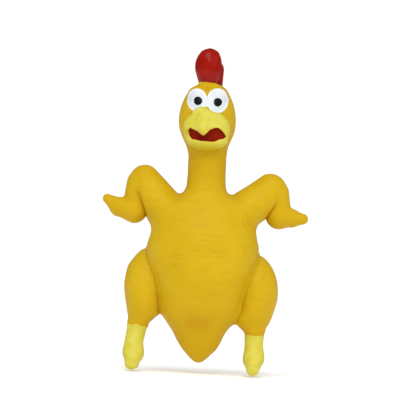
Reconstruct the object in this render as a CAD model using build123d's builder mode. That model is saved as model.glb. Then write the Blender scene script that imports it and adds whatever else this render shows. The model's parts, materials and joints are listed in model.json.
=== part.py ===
from build123d import *

import os
from math import asin, cos, radians, sin
from typing import NamedTuple

# Rubber chicken: a squeaky latex toy, about 262 mm tall, standing on its two feet.
#
# One thin latex moulding makes the whole outside.  It is modelled as the zones that bend
# against each other, each zone a separate hollow solid, with the folds of skin between
# them, the fibre filling inside and the squeaker that is set in the back.
#
# Frame: +Z up, -Y is the way the chicken looks, -X is the wing on the left of a front
# view.  The origin is on the floor, under the middle of the bounding box.  Millimetres.

os.makedirs("parts", exist_ok=True)

# ---------------------------------------------------------------- driving dimensions
SKIN = 2.0  # latex wall
GAP = 0.35  # between pieces that move past each other
FILL_GAP = 0.4  # between the fibre filling and the latex
BIG = 200.0  # size of a tool that cuts right through the toy
FROM_BASE = (Align.CENTER, Align.CENTER, Align.MIN)
UNDER_TOP = (Align.CENTER, Align.CENTER, Align.MAX)


class Station(NamedTuple):
    """An elliptical cross-section at height z: its middle in x, half width, front and back."""

    z: float
    x: float
    half_width: float
    front: float
    back: float


class Section(NamedTuple):
    """An elliptical cross-section at depth y: its half width, lowest and highest z."""

    y: float
    half_width: float
    low: float
    high: float


class Knuckle(NamedTuple):
    """A round end of a wing bone: its middle in x and z, and its radius."""

    x: float
    z: float
    r: float


class Eye(NamedTuple):
    """The painted white of an eye, and the middle and radius of its pupil."""

    x: float
    z: float
    half_width: float
    half_height: float
    pupil_x: float
    pupil_r: float


# Torso, from the tail tip up to the shoulders
TORSO = [
    Station(9.6, 0.6, 3.6, 3.5, 10.5),
    Station(13.0, 0.7, 7.6, -1.0, 13.5),
    Station(21.0, 0.8, 14.0, -6.5, 18.0),
    Station(33.0, 0.2, 20.5, -13.5, 22.5),
    Station(45.0, 0.0, 29.5, -22.5, 27.0),
    Station(57.0, 0.0, 34.5, -29.5, 30.5),
    Station(77.0, 0.0, 39.5, -35.6, 33.5),
    Station(97.0, -0.4, 43.0, -36.6, 34.5),
    Station(117.0, -0.4, 42.6, -33.5, 33.5),
    Station(127.0, 0.0, 42.0, -29.5, 30.5),
    Station(135.0, 0.0, 35.0, -24.0, 26.0),
    Station(142.0, 0.0, 22.0, -19.0, 19.5),
]
SIDE_FLAT = 37.0  # the torso is flat at this |x| beside the thighs
SIDE_FLAT_TOP = 99.0

# Thighs: a drumstick each, flat where it lies along the torso
THIGH = {
    "left": [
        Station(40.3, -49.2, 8.6, -9.5, 9.0),
        Station(47.0, -47.6, 10.8, -13.5, 15.5),
        Station(57.0, -45.6, 14.8, -18.5, 24.0),
        Station(70.0, -44.5, 17.2, -20.0, 27.0),
        Station(84.0, -43.5, 15.6, -15.0, 24.0),
        Station(93.0, -42.5, 10.6, -7.0, 18.0),
        Station(97.0, -42.0, 7.0, 0.0, 10.0),
    ],
    "right": [
        Station(40.3, 44.4, 8.8, -9.5, 9.0),
        Station(47.0, 44.6, 11.2, -13.5, 15.5),
        Station(57.0, 44.8, 14.8, -18.5, 24.0),
        Station(70.0, 44.8, 17.2, -20.0, 27.0),
        Station(84.0, 43.5, 15.6, -15.0, 24.0),
        Station(93.0, 42.5, 10.6, -7.0, 18.0),
        Station(97.0, 42.0, 7.0, 0.0, 10.0),
    ],
}
HIP_Y = 4.0  # the hip axis runs along X at this y and z
HIP_Z = 72.0
HIP_R = 13.0  # latex passage from torso to thigh
HIP_LAP = 2.6  # how far the passage reaches into each side

# Feet
SHANK_X = {"left": -50.4, "right": 44.6}
SHANK_R = 8.4
SHANK_LOW_Z = 10.0  # the shank runs down into the foot to here
SHANK_LOW_R = 7.4
MARROW_LOW_Z = 12.0  # and its hollow to here
ANKLE_FOLD = (34.0, 40.3)
FOOT_SECTIONS = [  # heel first
    Section(12.0, 3.4, 1.0, 8.0),
    Section(7.0, 6.4, -1.0, 15.0),
    Section(-1.0, 8.3, -2.0, 21.0),
    Section(-9.0, 8.9, -2.4, 20.0),
    Section(-17.0, 7.8, -2.2, 14.0),
    Section(-24.5, 4.6, -0.6, 6.5),
]

# Neck: three folds and two stiffer lengths between them
NECK_R = 15.2
NECK_ROOT_R = 18.0  # where it meets the shoulders
NECK_BASE_R = 16.0  # above the root fold
NECK_TOP_R = 16.6  # where it meets the head
NECK_ROOT_FOLD = (142.0, 150.0)
NECK_MID_FOLD = (163.0, 171.0)
NECK_TOP_FOLD = (180.4, 187.7)

# Head, from the top of the neck up to the crown
HEAD_X = -1.4
HEAD = [
    Station(187.7, HEAD_X, 18.4, -18.0, 17.5),
    Station(193.0, HEAD_X, 21.4, -20.5, 20.5),
    Station(201.0, HEAD_X, 22.8, -22.5, 23.0),
    Station(209.0, HEAD_X, 22.4, -22.5, 23.5),
    Station(217.0, HEAD_X, 20.2, -20.5, 22.0),
    Station(223.5, HEAD_X, 17.0, -16.5, 18.5),
    Station(228.0, HEAD_X, 12.4, -11.5, 13.5),
    Station(230.2, HEAD_X, 7.0, -6.5, 8.5),
]
EYES = {
    "left": Eye(-11.0, 218.1, 7.9, 9.6, -10.2, 3.3),
    "right": Eye(5.4, 218.4, 8.3, 10.0, 5.7, 3.3),
}
EYE_BULGE = 1.0  # how far a white stands out of the head
PUPIL_BULGE = 0.5  # and a pupil out of its white
FACE_X = -2.4  # middle of the beak
UPPER_BEAK = [
    Section(-8.0, 18.2, 191.0, 213.0),
    Section(-18.0, 18.6, 190.5, 212.5),
    Section(-25.0, 16.6, 190.0, 208.5),
    Section(-31.0, 11.5, 189.4, 203.0),
    Section(-36.5, 4.2, 189.8, 196.0),
]
LOWER_BEAK = [
    Section(-18.8, 17.0, 181.0, 193.4),
    Section(-23.0, 15.4, 180.2, 192.0),
    Section(-27.5, 11.4, 180.6, 190.0),
    Section(-31.0, 5.4, 182.4, 188.0),
]
MOUTH = Section(-23.6, 14.4, 187.0, 196.2)  # y is the floor of the open mouth
MOUTH_X = -1.8
THROAT_Y = 19.5  # the lower beak keeps this far in front of the neck, so that the head can nod

# Comb: lobes on a fold that slopes down to the back of the head
COMB_X = -2.0
COMB_AXIS_Y = 5.0  # the comb flops about a line through this point, along the slope
COMB_AXIS_Z = 231.0
COMB_SLOPE = 17.0
COMB_FOLD = 2.2  # half height of the fold
COMB_FOLD_OVAL = (9.2, 14.5)  # half width and half length of the fold
COMB_LOBES = [
    [
        Station(222.0, COMB_X, 9.0, -9.0, 9.0),
        Station(234.0, COMB_X, 9.8, -10.5, 10.0),
        Station(241.0, COMB_X, 11.1, -11.0, 10.0),
        Station(248.0, COMB_X, 11.6, -10.5, 9.5),
        Station(255.0, COMB_X - 0.5, 9.8, -8.5, 8.0),
        Station(259.4, COMB_X - 0.6, 6.4, -5.5, 5.5),
        Station(261.6, COMB_X - 0.6, 2.0, -2.0, 2.0),
    ],
    [
        Station(218.0, COMB_X, 7.0, 5.0, 18.0),
        Station(238.0, COMB_X, 8.0, 6.5, 20.0),
        Station(248.0, COMB_X, 6.0, 9.5, 19.5),
        Station(254.0, COMB_X, 1.6, 14.0, 17.5),
    ],
    [
        Station(216.0, COMB_X, 5.0, 13.0, 21.0),
        Station(234.0, COMB_X, 6.4, 15.0, 26.0),
        Station(241.0, COMB_X, 4.6, 18.5, 27.0),
        Station(246.0, COMB_X, 1.4, 23.0, 26.0),
    ],
]

# Wings
WING_Y = 3.0
WINGS = {
    "left": {
        "shoulder": Knuckle(-29.8, 133.8, 12.5),
        "elbow": Knuckle(-49.5, 153.4, 11.6),
        "fore_top": Knuckle(-53.6, 150.4, 10.2),
        "wrist": Knuckle(-56.6, 128.4, 9.4),
        "tip_root": Knuckle(-59.5, 130.0, 8.6),
        "tip": Knuckle(-78.8, 135.4, 3.65),
    },
    "right": {
        "shoulder": Knuckle(28.0, 134.6, 12.5),
        "elbow": Knuckle(51.4, 150.4, 12.4),
        "fore_top": Knuckle(57.0, 147.6, 10.4),
        "wrist": Knuckle(59.2, 129.4, 9.5),
        "tip_root": Knuckle(61.5, 129.0, 8.6),
        "tip": Knuckle(77.85, 128.4, 4.6),
    },
}
WING_TURNS = (-4.0, 26.0)  # degrees that a wing flaps down and up
WING_VENT_R = 5.0  # the way for air between torso and wing

# Belly window: the oval of skin that is pressed in to make it squeak
BELLY_Z = 84.0
BELLY_HALF_WIDTH = 27.0
BELLY_HALF_HEIGHT = 33.0

# Squeaker, set in a collar of latex in the back above the tail
SQUEAKER_Z = 68.0
CUP_R = 12.0
CUP_FRONT = 22.0  # inner end of the cup, in y
CUP_BACK = 36.6  # outer face of the cup
CUP_WALL = 1.2
CUP_FIT = 0.1  # between the cup and its collar
COLLAR_R = 15.6
COLLAR_BACK = 35.6
LID_THICK = 1.4
AIR_HOLE_R = 1.4
AIR_HOLE_RING = 6.5
REED_BLOCK = (6.0, 3.4, 15.0)
REED_SLOT = (4.4, 0.3, 12.6)
REED = (4.0, 0.2, 12.0)


# ---------------------------------------------------------------- shapes used by several pieces
def ellipse_loft(stations, inset=0.0):
    """A smooth solid through elliptical stations; inset leaves room for a wall all round."""
    low = stations[0].z + inset
    high = stations[-1].z - inset
    with BuildPart() as body:
        for s in stations:
            middle = (s.x, (s.front + s.back) / 2, min(max(s.z, low), high))
            with BuildSketch(Plane(origin=middle)):
                Ellipse(max(s.half_width - inset, 0.8), max((s.back - s.front) / 2 - inset, 0.8))
        loft()
    return body.part


def section_loft(sections, x):
    """A smooth solid through elliptical sections that stand across Y."""
    with BuildPart() as body:
        for s in sections:
            middle = (x, s.y, (s.low + s.high) / 2)
            with BuildSketch(Plane(origin=middle, x_dir=(1, 0, 0), z_dir=(0, -1, 0))):
                Ellipse(s.half_width, (s.high - s.low) / 2)
        loft()
    return body.part


def round_cone(a, b, grow=0.0):
    """A tapered bone with round ends at knuckles a and b."""
    start = Vector(a.x, WING_Y, a.z)
    along = Vector(b.x, WING_Y, b.z) - start
    length = along.length
    near_r = a.r + grow
    far_r = b.r + grow
    lean = asin((near_r - far_r) / length)
    near_half = (radians(90) + lean) / 2
    far_half = (radians(90) - lean) / 2
    near = (near_r * sin(lean), near_r * cos(lean))
    far = (length + far_r * sin(lean), far_r * cos(lean))
    near_mid = (-near_r * cos(near_half), near_r * sin(near_half))
    far_mid = (length + far_r * cos(far_half), far_r * sin(far_half))
    with BuildPart() as body:
        with BuildSketch(Plane(origin=start, x_dir=along, z_dir=(0, 1, 0))):
            with BuildLine():
                ThreePointArc((-near_r, 0), near_mid, near)
                Line(near, far)
                ThreePointArc(far, far_mid, (length + far_r, 0))
                Line((length + far_r, 0), (-near_r, 0))
            make_face()
        revolve(axis=Axis(start, along))
    return body.part


def drum(centre, axis, radius, length):
    """A cylinder along axis, with its middle at centre."""
    with BuildPart(Plane(origin=centre, z_dir=axis)) as body:
        Cylinder(radius, length)
    return body.part


def oval_bar(half_width, half_height, x, z):
    """An oval bar along -Y, from the middle of the toy out through its front."""
    with BuildPart() as body:
        with BuildSketch(Plane(origin=(x, 0, z), x_dir=(1, 0, 0), z_dir=(0, -1, 0))):
            Ellipse(half_width, half_height)
        extrude(amount=BIG)
    return body.part


def cone_bar(span, low_r, high_r, low_x=0.0, high_x=0.0):
    """A round bar from one height up to another, its ends at low_x and high_x."""
    with BuildPart() as body:
        with BuildSketch(Plane(origin=(low_x, 0, span[0]))):
            Circle(low_r)
        with BuildSketch(Plane(origin=(high_x, 0, span[1]))):
            Circle(high_r)
        loft()
    return body.part


def side_boxes(flat, top):
    """The two boxes outside |x| = flat and below top, where the thighs are."""
    reach = (flat + BIG) / 2
    with BuildPart() as body:
        with Locations((reach, 0, (top - BIG) / 2), (-reach, 0, (top - BIG) / 2)):
            Box(BIG - flat, BIG, BIG + top)
    return body.part


def middle_slab(flat):
    """The slab between x = -flat and x = flat."""
    with BuildPart() as body:
        Box(2 * flat, BIG, 2 * BIG)
    return body.part


def wing_slot(side, grow):
    """The slot in the torso that a wing's root flaps in."""
    bones = WINGS[side]
    shoulder = bones["shoulder"]
    elbow = bones["elbow"]
    up = -1 if side == "left" else 1
    middle = Vector(shoulder.x, shoulder.z)
    arm = Vector(elbow.x, elbow.z) - middle
    with BuildPart() as body:
        with BuildSketch(Plane.XZ.offset(-WING_Y)):
            with Locations(middle):
                Circle(shoulder.r + grow)
            for turn in WING_TURNS:
                with Locations(middle + arm.rotate(Axis.Z, up * turn)):
                    Circle(elbow.r + grow)
            make_hull()
        extrude(amount=shoulder.r + grow, both=True)
    return body.part


def finish(piece, label):
    """Labels a finished piece and writes its STEP file."""
    piece.part.label = label
    export_step(piece.part, f"parts/{label}.step")
    print(f"{label:24s} solids {len(piece.part.solids())}  {piece.part.volume / 1000:8.2f} cm3")


# ---------------------------------------------------------------- tools for the torso
torso_outer = ellipse_loft(TORSO)
torso_lining = ellipse_loft(TORSO, SKIN)
torso_core = ellipse_loft(TORSO, SKIN + FILL_GAP)
beside_torso = side_boxes(SIDE_FLAT, SIDE_FLAT_TOP)
beside_lining = side_boxes(SIDE_FLAT - SKIN, SIDE_FLAT_TOP + SKIN)
beside_filling = side_boxes(SIDE_FLAT - SKIN - HIP_LAP, SIDE_FLAT_TOP + SKIN + HIP_LAP)
hip_tunnel = drum((0, HIP_Y, HIP_Z), (1, 0, 0), HIP_R + GAP, BIG)
neck_tunnel = drum((0, 0, TORSO[-1].z), (0, 0, 1), NECK_ROOT_R - 2 * SKIN, 6 * SKIN)
collar_middle = (0, (COLLAR_BACK + CUP_FRONT) / 2, SQUEAKER_Z)
collar_bar = drum(collar_middle, (0, 1, 0), COLLAR_R, COLLAR_BACK - CUP_FRONT)
squeaker_tunnel = drum((0, CUP_BACK, SQUEAKER_Z), (0, 1, 0), CUP_R + CUP_FIT, BIG / 4)
cup_length = CUP_BACK - CUP_FRONT
squeaker_room = drum((0, CUP_BACK, SQUEAKER_Z), (0, 1, 0), COLLAR_R + FILL_GAP, 2 * (cup_length + 1))
belly_window = oval_bar(BELLY_HALF_WIDTH, BELLY_HALF_HEIGHT, 0, BELLY_Z)
belly_oval = oval_bar(BELLY_HALF_WIDTH - GAP, BELLY_HALF_HEIGHT - GAP, 0, BELLY_Z)
wing_slots = [wing_slot(side, GAP) for side in WINGS]

# ---------------------------------------------------------------- torso
with BuildPart() as torso_cavity:
    add(torso_lining)
    add(beside_lining, mode=Mode.SUBTRACT)
    add(collar_bar, mode=Mode.SUBTRACT)

with BuildPart() as torso_skin:
    add(torso_outer)
    add(beside_torso, mode=Mode.SUBTRACT)
    add(collar_bar)
    add(torso_cavity.part, mode=Mode.SUBTRACT)
    add(neck_tunnel, mode=Mode.SUBTRACT)
    add(belly_window, mode=Mode.SUBTRACT)
    add(hip_tunnel, mode=Mode.SUBTRACT)
    add(squeaker_tunnel, mode=Mode.SUBTRACT)
    for slot in wing_slots:
        add(slot, mode=Mode.SUBTRACT)
finish(torso_skin, "torso_skin")

with BuildPart() as belly_skin:
    add(torso_outer)
    add(torso_lining, mode=Mode.SUBTRACT)
    add(belly_oval, mode=Mode.INTERSECT)
finish(belly_skin, "belly_skin")

with BuildPart() as torso_filling:
    add(torso_core)
    add(beside_filling, mode=Mode.SUBTRACT)
    add(squeaker_room, mode=Mode.SUBTRACT)
    for slot in wing_slots:
        add(slot, mode=Mode.SUBTRACT)
finish(torso_filling, "torso_filling")

# ---------------------------------------------------------------- squeaker
cup_plane = Plane(origin=(0, CUP_BACK, SQUEAKER_Z), x_dir=(1, 0, 0), z_dir=(0, -1, 0))
with BuildPart(cup_plane) as squeaker_cup:
    Cylinder(CUP_R, cup_length, align=FROM_BASE)
    with Locations((0, 0, CUP_WALL)):
        Cylinder(CUP_R - CUP_WALL, cup_length, align=FROM_BASE, mode=Mode.SUBTRACT)
    with PolarLocations(AIR_HOLE_RING, 4, start_angle=45):
        Cylinder(AIR_HOLE_R, 4 * CUP_WALL, mode=Mode.SUBTRACT)
finish(squeaker_cup, "squeaker_cup")

with BuildPart(cup_plane.offset(cup_length - LID_THICK)) as squeaker_lid:
    Cylinder(CUP_R - CUP_WALL - CUP_FIT, LID_THICK, align=FROM_BASE)
    Cylinder(AIR_HOLE_R, 4 * LID_THICK, mode=Mode.SUBTRACT)
finish(squeaker_lid, "squeaker_lid")

reed_middle = (0, CUP_FRONT + LID_THICK + CUP_FIT + REED_BLOCK[1] / 2, SQUEAKER_Z)
with BuildPart(Plane(origin=reed_middle)) as reed_block:
    Box(*REED_BLOCK)
    Box(*REED_SLOT, mode=Mode.SUBTRACT)
    with Locations((0, -REED_BLOCK[1] / 4, REED_SLOT[2] / 4)):
        Box(REED_SLOT[0], REED_BLOCK[1] / 2, REED_SLOT[2] / 2, mode=Mode.SUBTRACT)
finish(reed_block, "reed_block")

with BuildPart(Plane(origin=reed_middle)) as squeaker_reed:
    Box(*REED)
finish(squeaker_reed, "squeaker_reed")


# ---------------------------------------------------------------- neck
def neck_tube(span, low_r, high_r, label):
    """A fold or a length of the neck."""
    outer = cone_bar(span, low_r, high_r)
    bore = cone_bar(span, low_r - SKIN, high_r - SKIN)
    with BuildPart() as neck_piece:
        add(outer)
        add(bore, mode=Mode.SUBTRACT)
    finish(neck_piece, label)


def neck_core(span, low_r, high_r, label):
    """The filling of a length of the neck."""
    core = cone_bar(span, low_r - SKIN - FILL_GAP, high_r - SKIN - FILL_GAP)
    with BuildPart() as neck_filling:
        add(core)
    finish(neck_filling, label)


lower_neck = (NECK_ROOT_FOLD[1], NECK_MID_FOLD[0])
upper_neck = (NECK_MID_FOLD[1], NECK_TOP_FOLD[0])
neck_tube(NECK_ROOT_FOLD, NECK_ROOT_R, NECK_BASE_R, "neck_root_fold")
neck_tube(lower_neck, NECK_BASE_R, NECK_R, "neck_lower_skin")
neck_core(lower_neck, NECK_BASE_R, NECK_R, "neck_lower_filling")
neck_tube(NECK_MID_FOLD, NECK_R, NECK_R, "neck_mid_fold")
neck_tube(upper_neck, NECK_R, NECK_R, "neck_upper_skin")
neck_core(upper_neck, NECK_R, NECK_R, "neck_upper_filling")
neck_tube(NECK_TOP_FOLD, NECK_R, NECK_TOP_R, "neck_top_fold")

# ---------------------------------------------------------------- head
head_outer = ellipse_loft(HEAD)
head_lining = ellipse_loft(HEAD, SKIN)
head_core = ellipse_loft(HEAD, SKIN + FILL_GAP)
comb_plane = Plane(
    origin=(COMB_X, COMB_AXIS_Y, COMB_AXIS_Z),
    x_dir=(1, 0, 0),
    z_dir=(0, sin(radians(COMB_SLOPE)), cos(radians(COMB_SLOPE))),
)
head_bore = drum((0, 0, HEAD[0].z), (0, 0, 1), NECK_TOP_R - SKIN, 4 * SKIN)
with BuildPart(comb_plane.offset(-COMB_FOLD)) as over_head:
    Box(BIG, BIG, BIG, align=FROM_BASE)

with BuildPart() as head_skin:
    add(head_outer)
    add(over_head.part, mode=Mode.SUBTRACT)
    add(head_lining, mode=Mode.SUBTRACT)
    add(head_bore, mode=Mode.SUBTRACT)
finish(head_skin, "head_skin")

with BuildPart() as head_filling:
    add(head_core)
finish(head_filling, "head_filling")

# ---------------------------------------------------------------- beak and mouth
upper_muzzle = section_loft(UPPER_BEAK, FACE_X)
lower_muzzle = section_loft(LOWER_BEAK, FACE_X)
mouth_middle = (MOUTH.low + MOUTH.high) / 2
mouth_half = (MOUTH.high - MOUTH.low) / 2
mouth_bar = oval_bar(MOUTH.half_width, mouth_half, MOUTH_X, mouth_middle)
with BuildPart() as behind_mouth:
    with Locations((0, MOUTH.y, mouth_middle)):
        Box(BIG, BIG, BIG, align=(Align.CENTER, Align.MIN, Align.CENTER))
with BuildPart() as over_neck:
    with Locations((0, 0, HEAD[0].z)):
        Box(BIG, 2 * THROAT_Y, BIG, align=UNDER_TOP)
with BuildPart() as beak_lower:
    add(lower_muzzle)
    add(head_outer, mode=Mode.SUBTRACT)
    add(over_neck.part, mode=Mode.SUBTRACT)
    add(upper_muzzle, mode=Mode.SUBTRACT)
    add(mouth_bar, mode=Mode.SUBTRACT)
finish(beak_lower, "beak_lower")

with BuildPart() as muzzle_core:
    add(upper_muzzle)
    add(lower_muzzle)
    add(head_outer, mode=Mode.SUBTRACT)

with BuildPart() as mouth_lining:
    add(muzzle_core.part)
    add(mouth_bar, mode=Mode.INTERSECT)
    add(behind_mouth.part, mode=Mode.INTERSECT)
finish(mouth_lining, "mouth_lining")

with BuildPart() as beak_upper:
    add(upper_muzzle)
    add(head_outer, mode=Mode.SUBTRACT)
    add(mouth_lining.part, mode=Mode.SUBTRACT)
    add(beak_lower.part, mode=Mode.SUBTRACT)
finish(beak_upper, "beak_upper")

# ---------------------------------------------------------------- eyes
for side, eye in EYES.items():
    white_bar = oval_bar(eye.half_width, eye.half_height, eye.x, eye.z)
    pupil_bar = oval_bar(eye.pupil_r, eye.pupil_r, eye.pupil_x, eye.z)
    bulge = ellipse_loft(
        [s._replace(half_width=s.half_width + EYE_BULGE, front=s.front - EYE_BULGE) for s in HEAD]
    )
    far_bulge = ellipse_loft(
        [s._replace(front=s.front - EYE_BULGE - PUPIL_BULGE) for s in HEAD]
    )
    with BuildPart() as eye_white:
        add(bulge)
        add(white_bar, mode=Mode.INTERSECT)
        add(head_outer, mode=Mode.SUBTRACT)
        add(upper_muzzle, mode=Mode.SUBTRACT)
    finish(eye_white, f"eye_white_{side}")

    with BuildPart() as pupil:
        add(far_bulge)
        add(pupil_bar, mode=Mode.INTERSECT)
        add(bulge, mode=Mode.SUBTRACT)
        add(head_outer, mode=Mode.SUBTRACT)
    finish(pupil, f"pupil_{side}")

# ---------------------------------------------------------------- comb
lobes = [ellipse_loft(stations) for stations in COMB_LOBES]
with BuildPart(comb_plane.offset(COMB_FOLD)) as under_comb:
    Box(BIG, BIG, BIG, align=UNDER_TOP)

with BuildPart() as comb:
    for lobe in lobes:
        add(lobe)
    add(under_comb.part, mode=Mode.SUBTRACT)
finish(comb, "comb")

with BuildPart() as comb_fold:
    with BuildSketch(comb_plane.offset(COMB_FOLD)):
        Ellipse(*COMB_FOLD_OVAL)
    extrude(amount=-4 * COMB_FOLD)
    add(head_outer, mode=Mode.SUBTRACT)
finish(comb_fold, "comb_fold")


# ---------------------------------------------------------------- wings
def make_wing(side):
    """Upper wing, fore wing and wing tip, each a hollow bone around the ball before it."""
    bones = WINGS[side]
    upper = round_cone(bones["shoulder"], bones["elbow"])
    upper_bore = round_cone(bones["shoulder"], bones["elbow"], -SKIN)
    upper_room = round_cone(bones["shoulder"], bones["elbow"], GAP)
    upper_wall = round_cone(bones["shoulder"], bones["elbow"], GAP + SKIN)
    fore = round_cone(bones["fore_top"], bones["wrist"])
    fore_bore = round_cone(bones["fore_top"], bones["wrist"], -SKIN)
    fore_room = round_cone(bones["fore_top"], bones["wrist"], GAP)
    fore_wall = round_cone(bones["fore_top"], bones["wrist"], GAP + SKIN)
    tip = round_cone(bones["tip_root"], bones["tip"])
    tip_bore = round_cone(bones["tip_root"], bones["tip"], -SKIN)
    shoulder = bones["shoulder"]
    vent = drum((shoulder.x / 2, WING_Y, shoulder.z), (1, 0, 0), WING_VENT_R, abs(shoulder.x))

    with BuildPart() as upper_wing:
        add(upper)
        add(upper_bore, mode=Mode.SUBTRACT)
        add(vent, mode=Mode.SUBTRACT)
    finish(upper_wing, f"upper_wing_{side}")

    with BuildPart() as fore_cavity:
        add(fore_bore)
        add(upper_wall, mode=Mode.SUBTRACT)
    with BuildPart() as fore_wing:
        add(fore)
        add(upper_room, mode=Mode.SUBTRACT)
        add(fore_cavity.part, mode=Mode.SUBTRACT)
    finish(fore_wing, f"fore_wing_{side}")

    with BuildPart() as tip_cavity:
        add(tip_bore)
        add(fore_wall, mode=Mode.SUBTRACT)
    with BuildPart() as wing_tip:
        add(tip)
        add(fore_room, mode=Mode.SUBTRACT)
        add(tip_cavity.part, mode=Mode.SUBTRACT)
    finish(wing_tip, f"wing_tip_{side}")


for side in WINGS:
    make_wing(side)

# ---------------------------------------------------------------- legs
between_thighs = middle_slab(SIDE_FLAT + GAP)
between_linings = middle_slab(SIDE_FLAT + GAP + SKIN)
between_cores = middle_slab(SIDE_FLAT + GAP + SKIN + HIP_LAP)
with BuildPart() as under_floor:
    Box(BIG, BIG, BIG, align=UNDER_TOP)


def make_leg(side):
    """Thigh with its filling, the folds at hip and ankle, and the foot."""
    away = -1 if side == "left" else 1
    thigh_outer = ellipse_loft(THIGH[side])
    thigh_bore = ellipse_loft(THIGH[side], SKIN)
    thigh_core = ellipse_loft(THIGH[side], SKIN + FILL_GAP)
    shank_x = SHANK_X[side]
    hip_mouth = drum((away * SIDE_FLAT, HIP_Y, HIP_Z), (1, 0, 0), HIP_R + GAP, 2 * (SKIN + GAP) + 1)
    ankle_bore = drum((THIGH[side][0].x, 0, ANKLE_FOLD[1]), (0, 0, 1), SHANK_R - SKIN - 1, 4 * SKIN)

    with BuildPart() as thigh_cavity:
        add(thigh_bore)
        add(between_linings, mode=Mode.SUBTRACT)
    with BuildPart() as thigh_skin:
        add(thigh_outer)
        add(between_thighs, mode=Mode.SUBTRACT)
        add(thigh_cavity.part, mode=Mode.SUBTRACT)
        add(ankle_bore, mode=Mode.SUBTRACT)
        add(hip_mouth, mode=Mode.SUBTRACT)
    finish(thigh_skin, f"thigh_skin_{side}")

    with BuildPart() as thigh_filling:
        add(thigh_core)
        add(between_cores, mode=Mode.SUBTRACT)
    finish(thigh_filling, f"thigh_filling_{side}")

    hip_plane = Plane(origin=(away * (SIDE_FLAT - SKIN - HIP_LAP), HIP_Y, HIP_Z), z_dir=(away, 0, 0))
    with BuildPart(hip_plane) as hip_fold:
        length = 2 * SKIN + 2 * HIP_LAP + GAP
        Cylinder(HIP_R, length, align=FROM_BASE)
        Cylinder(HIP_R - SKIN, 4 * length, mode=Mode.SUBTRACT)
    finish(hip_fold, f"hip_fold_{side}")

    ankle_outer = cone_bar(ANKLE_FOLD, SHANK_R, SHANK_R, shank_x, THIGH[side][0].x)
    ankle_lining = cone_bar(ANKLE_FOLD, SHANK_R - SKIN, SHANK_R - SKIN, shank_x, THIGH[side][0].x)
    with BuildPart() as ankle_fold:
        add(ankle_outer)
        add(ankle_lining, mode=Mode.SUBTRACT)
    finish(ankle_fold, f"ankle_fold_{side}")

    shank = cone_bar((SHANK_LOW_Z, ANKLE_FOLD[0]), SHANK_LOW_R, SHANK_R, shank_x, shank_x)
    sole = section_loft(FOOT_SECTIONS, shank_x)
    marrow = cone_bar(
        (MARROW_LOW_Z, ANKLE_FOLD[0]), SHANK_LOW_R - SKIN, SHANK_R - SKIN, shank_x, shank_x
    )
    with BuildPart() as foot:
        add(shank)
        add(sole)
        add(marrow, mode=Mode.SUBTRACT)
        add(under_floor.part, mode=Mode.SUBTRACT)
    finish(foot, f"foot_{side}")


for side in SHANK_X:
    make_leg(side)
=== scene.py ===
import json
from math import cos, pi, radians, sin
from pathlib import Path
from typing import NamedTuple

import bmesh
import bpy
import numpy as np
from mathutils import Matrix

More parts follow.
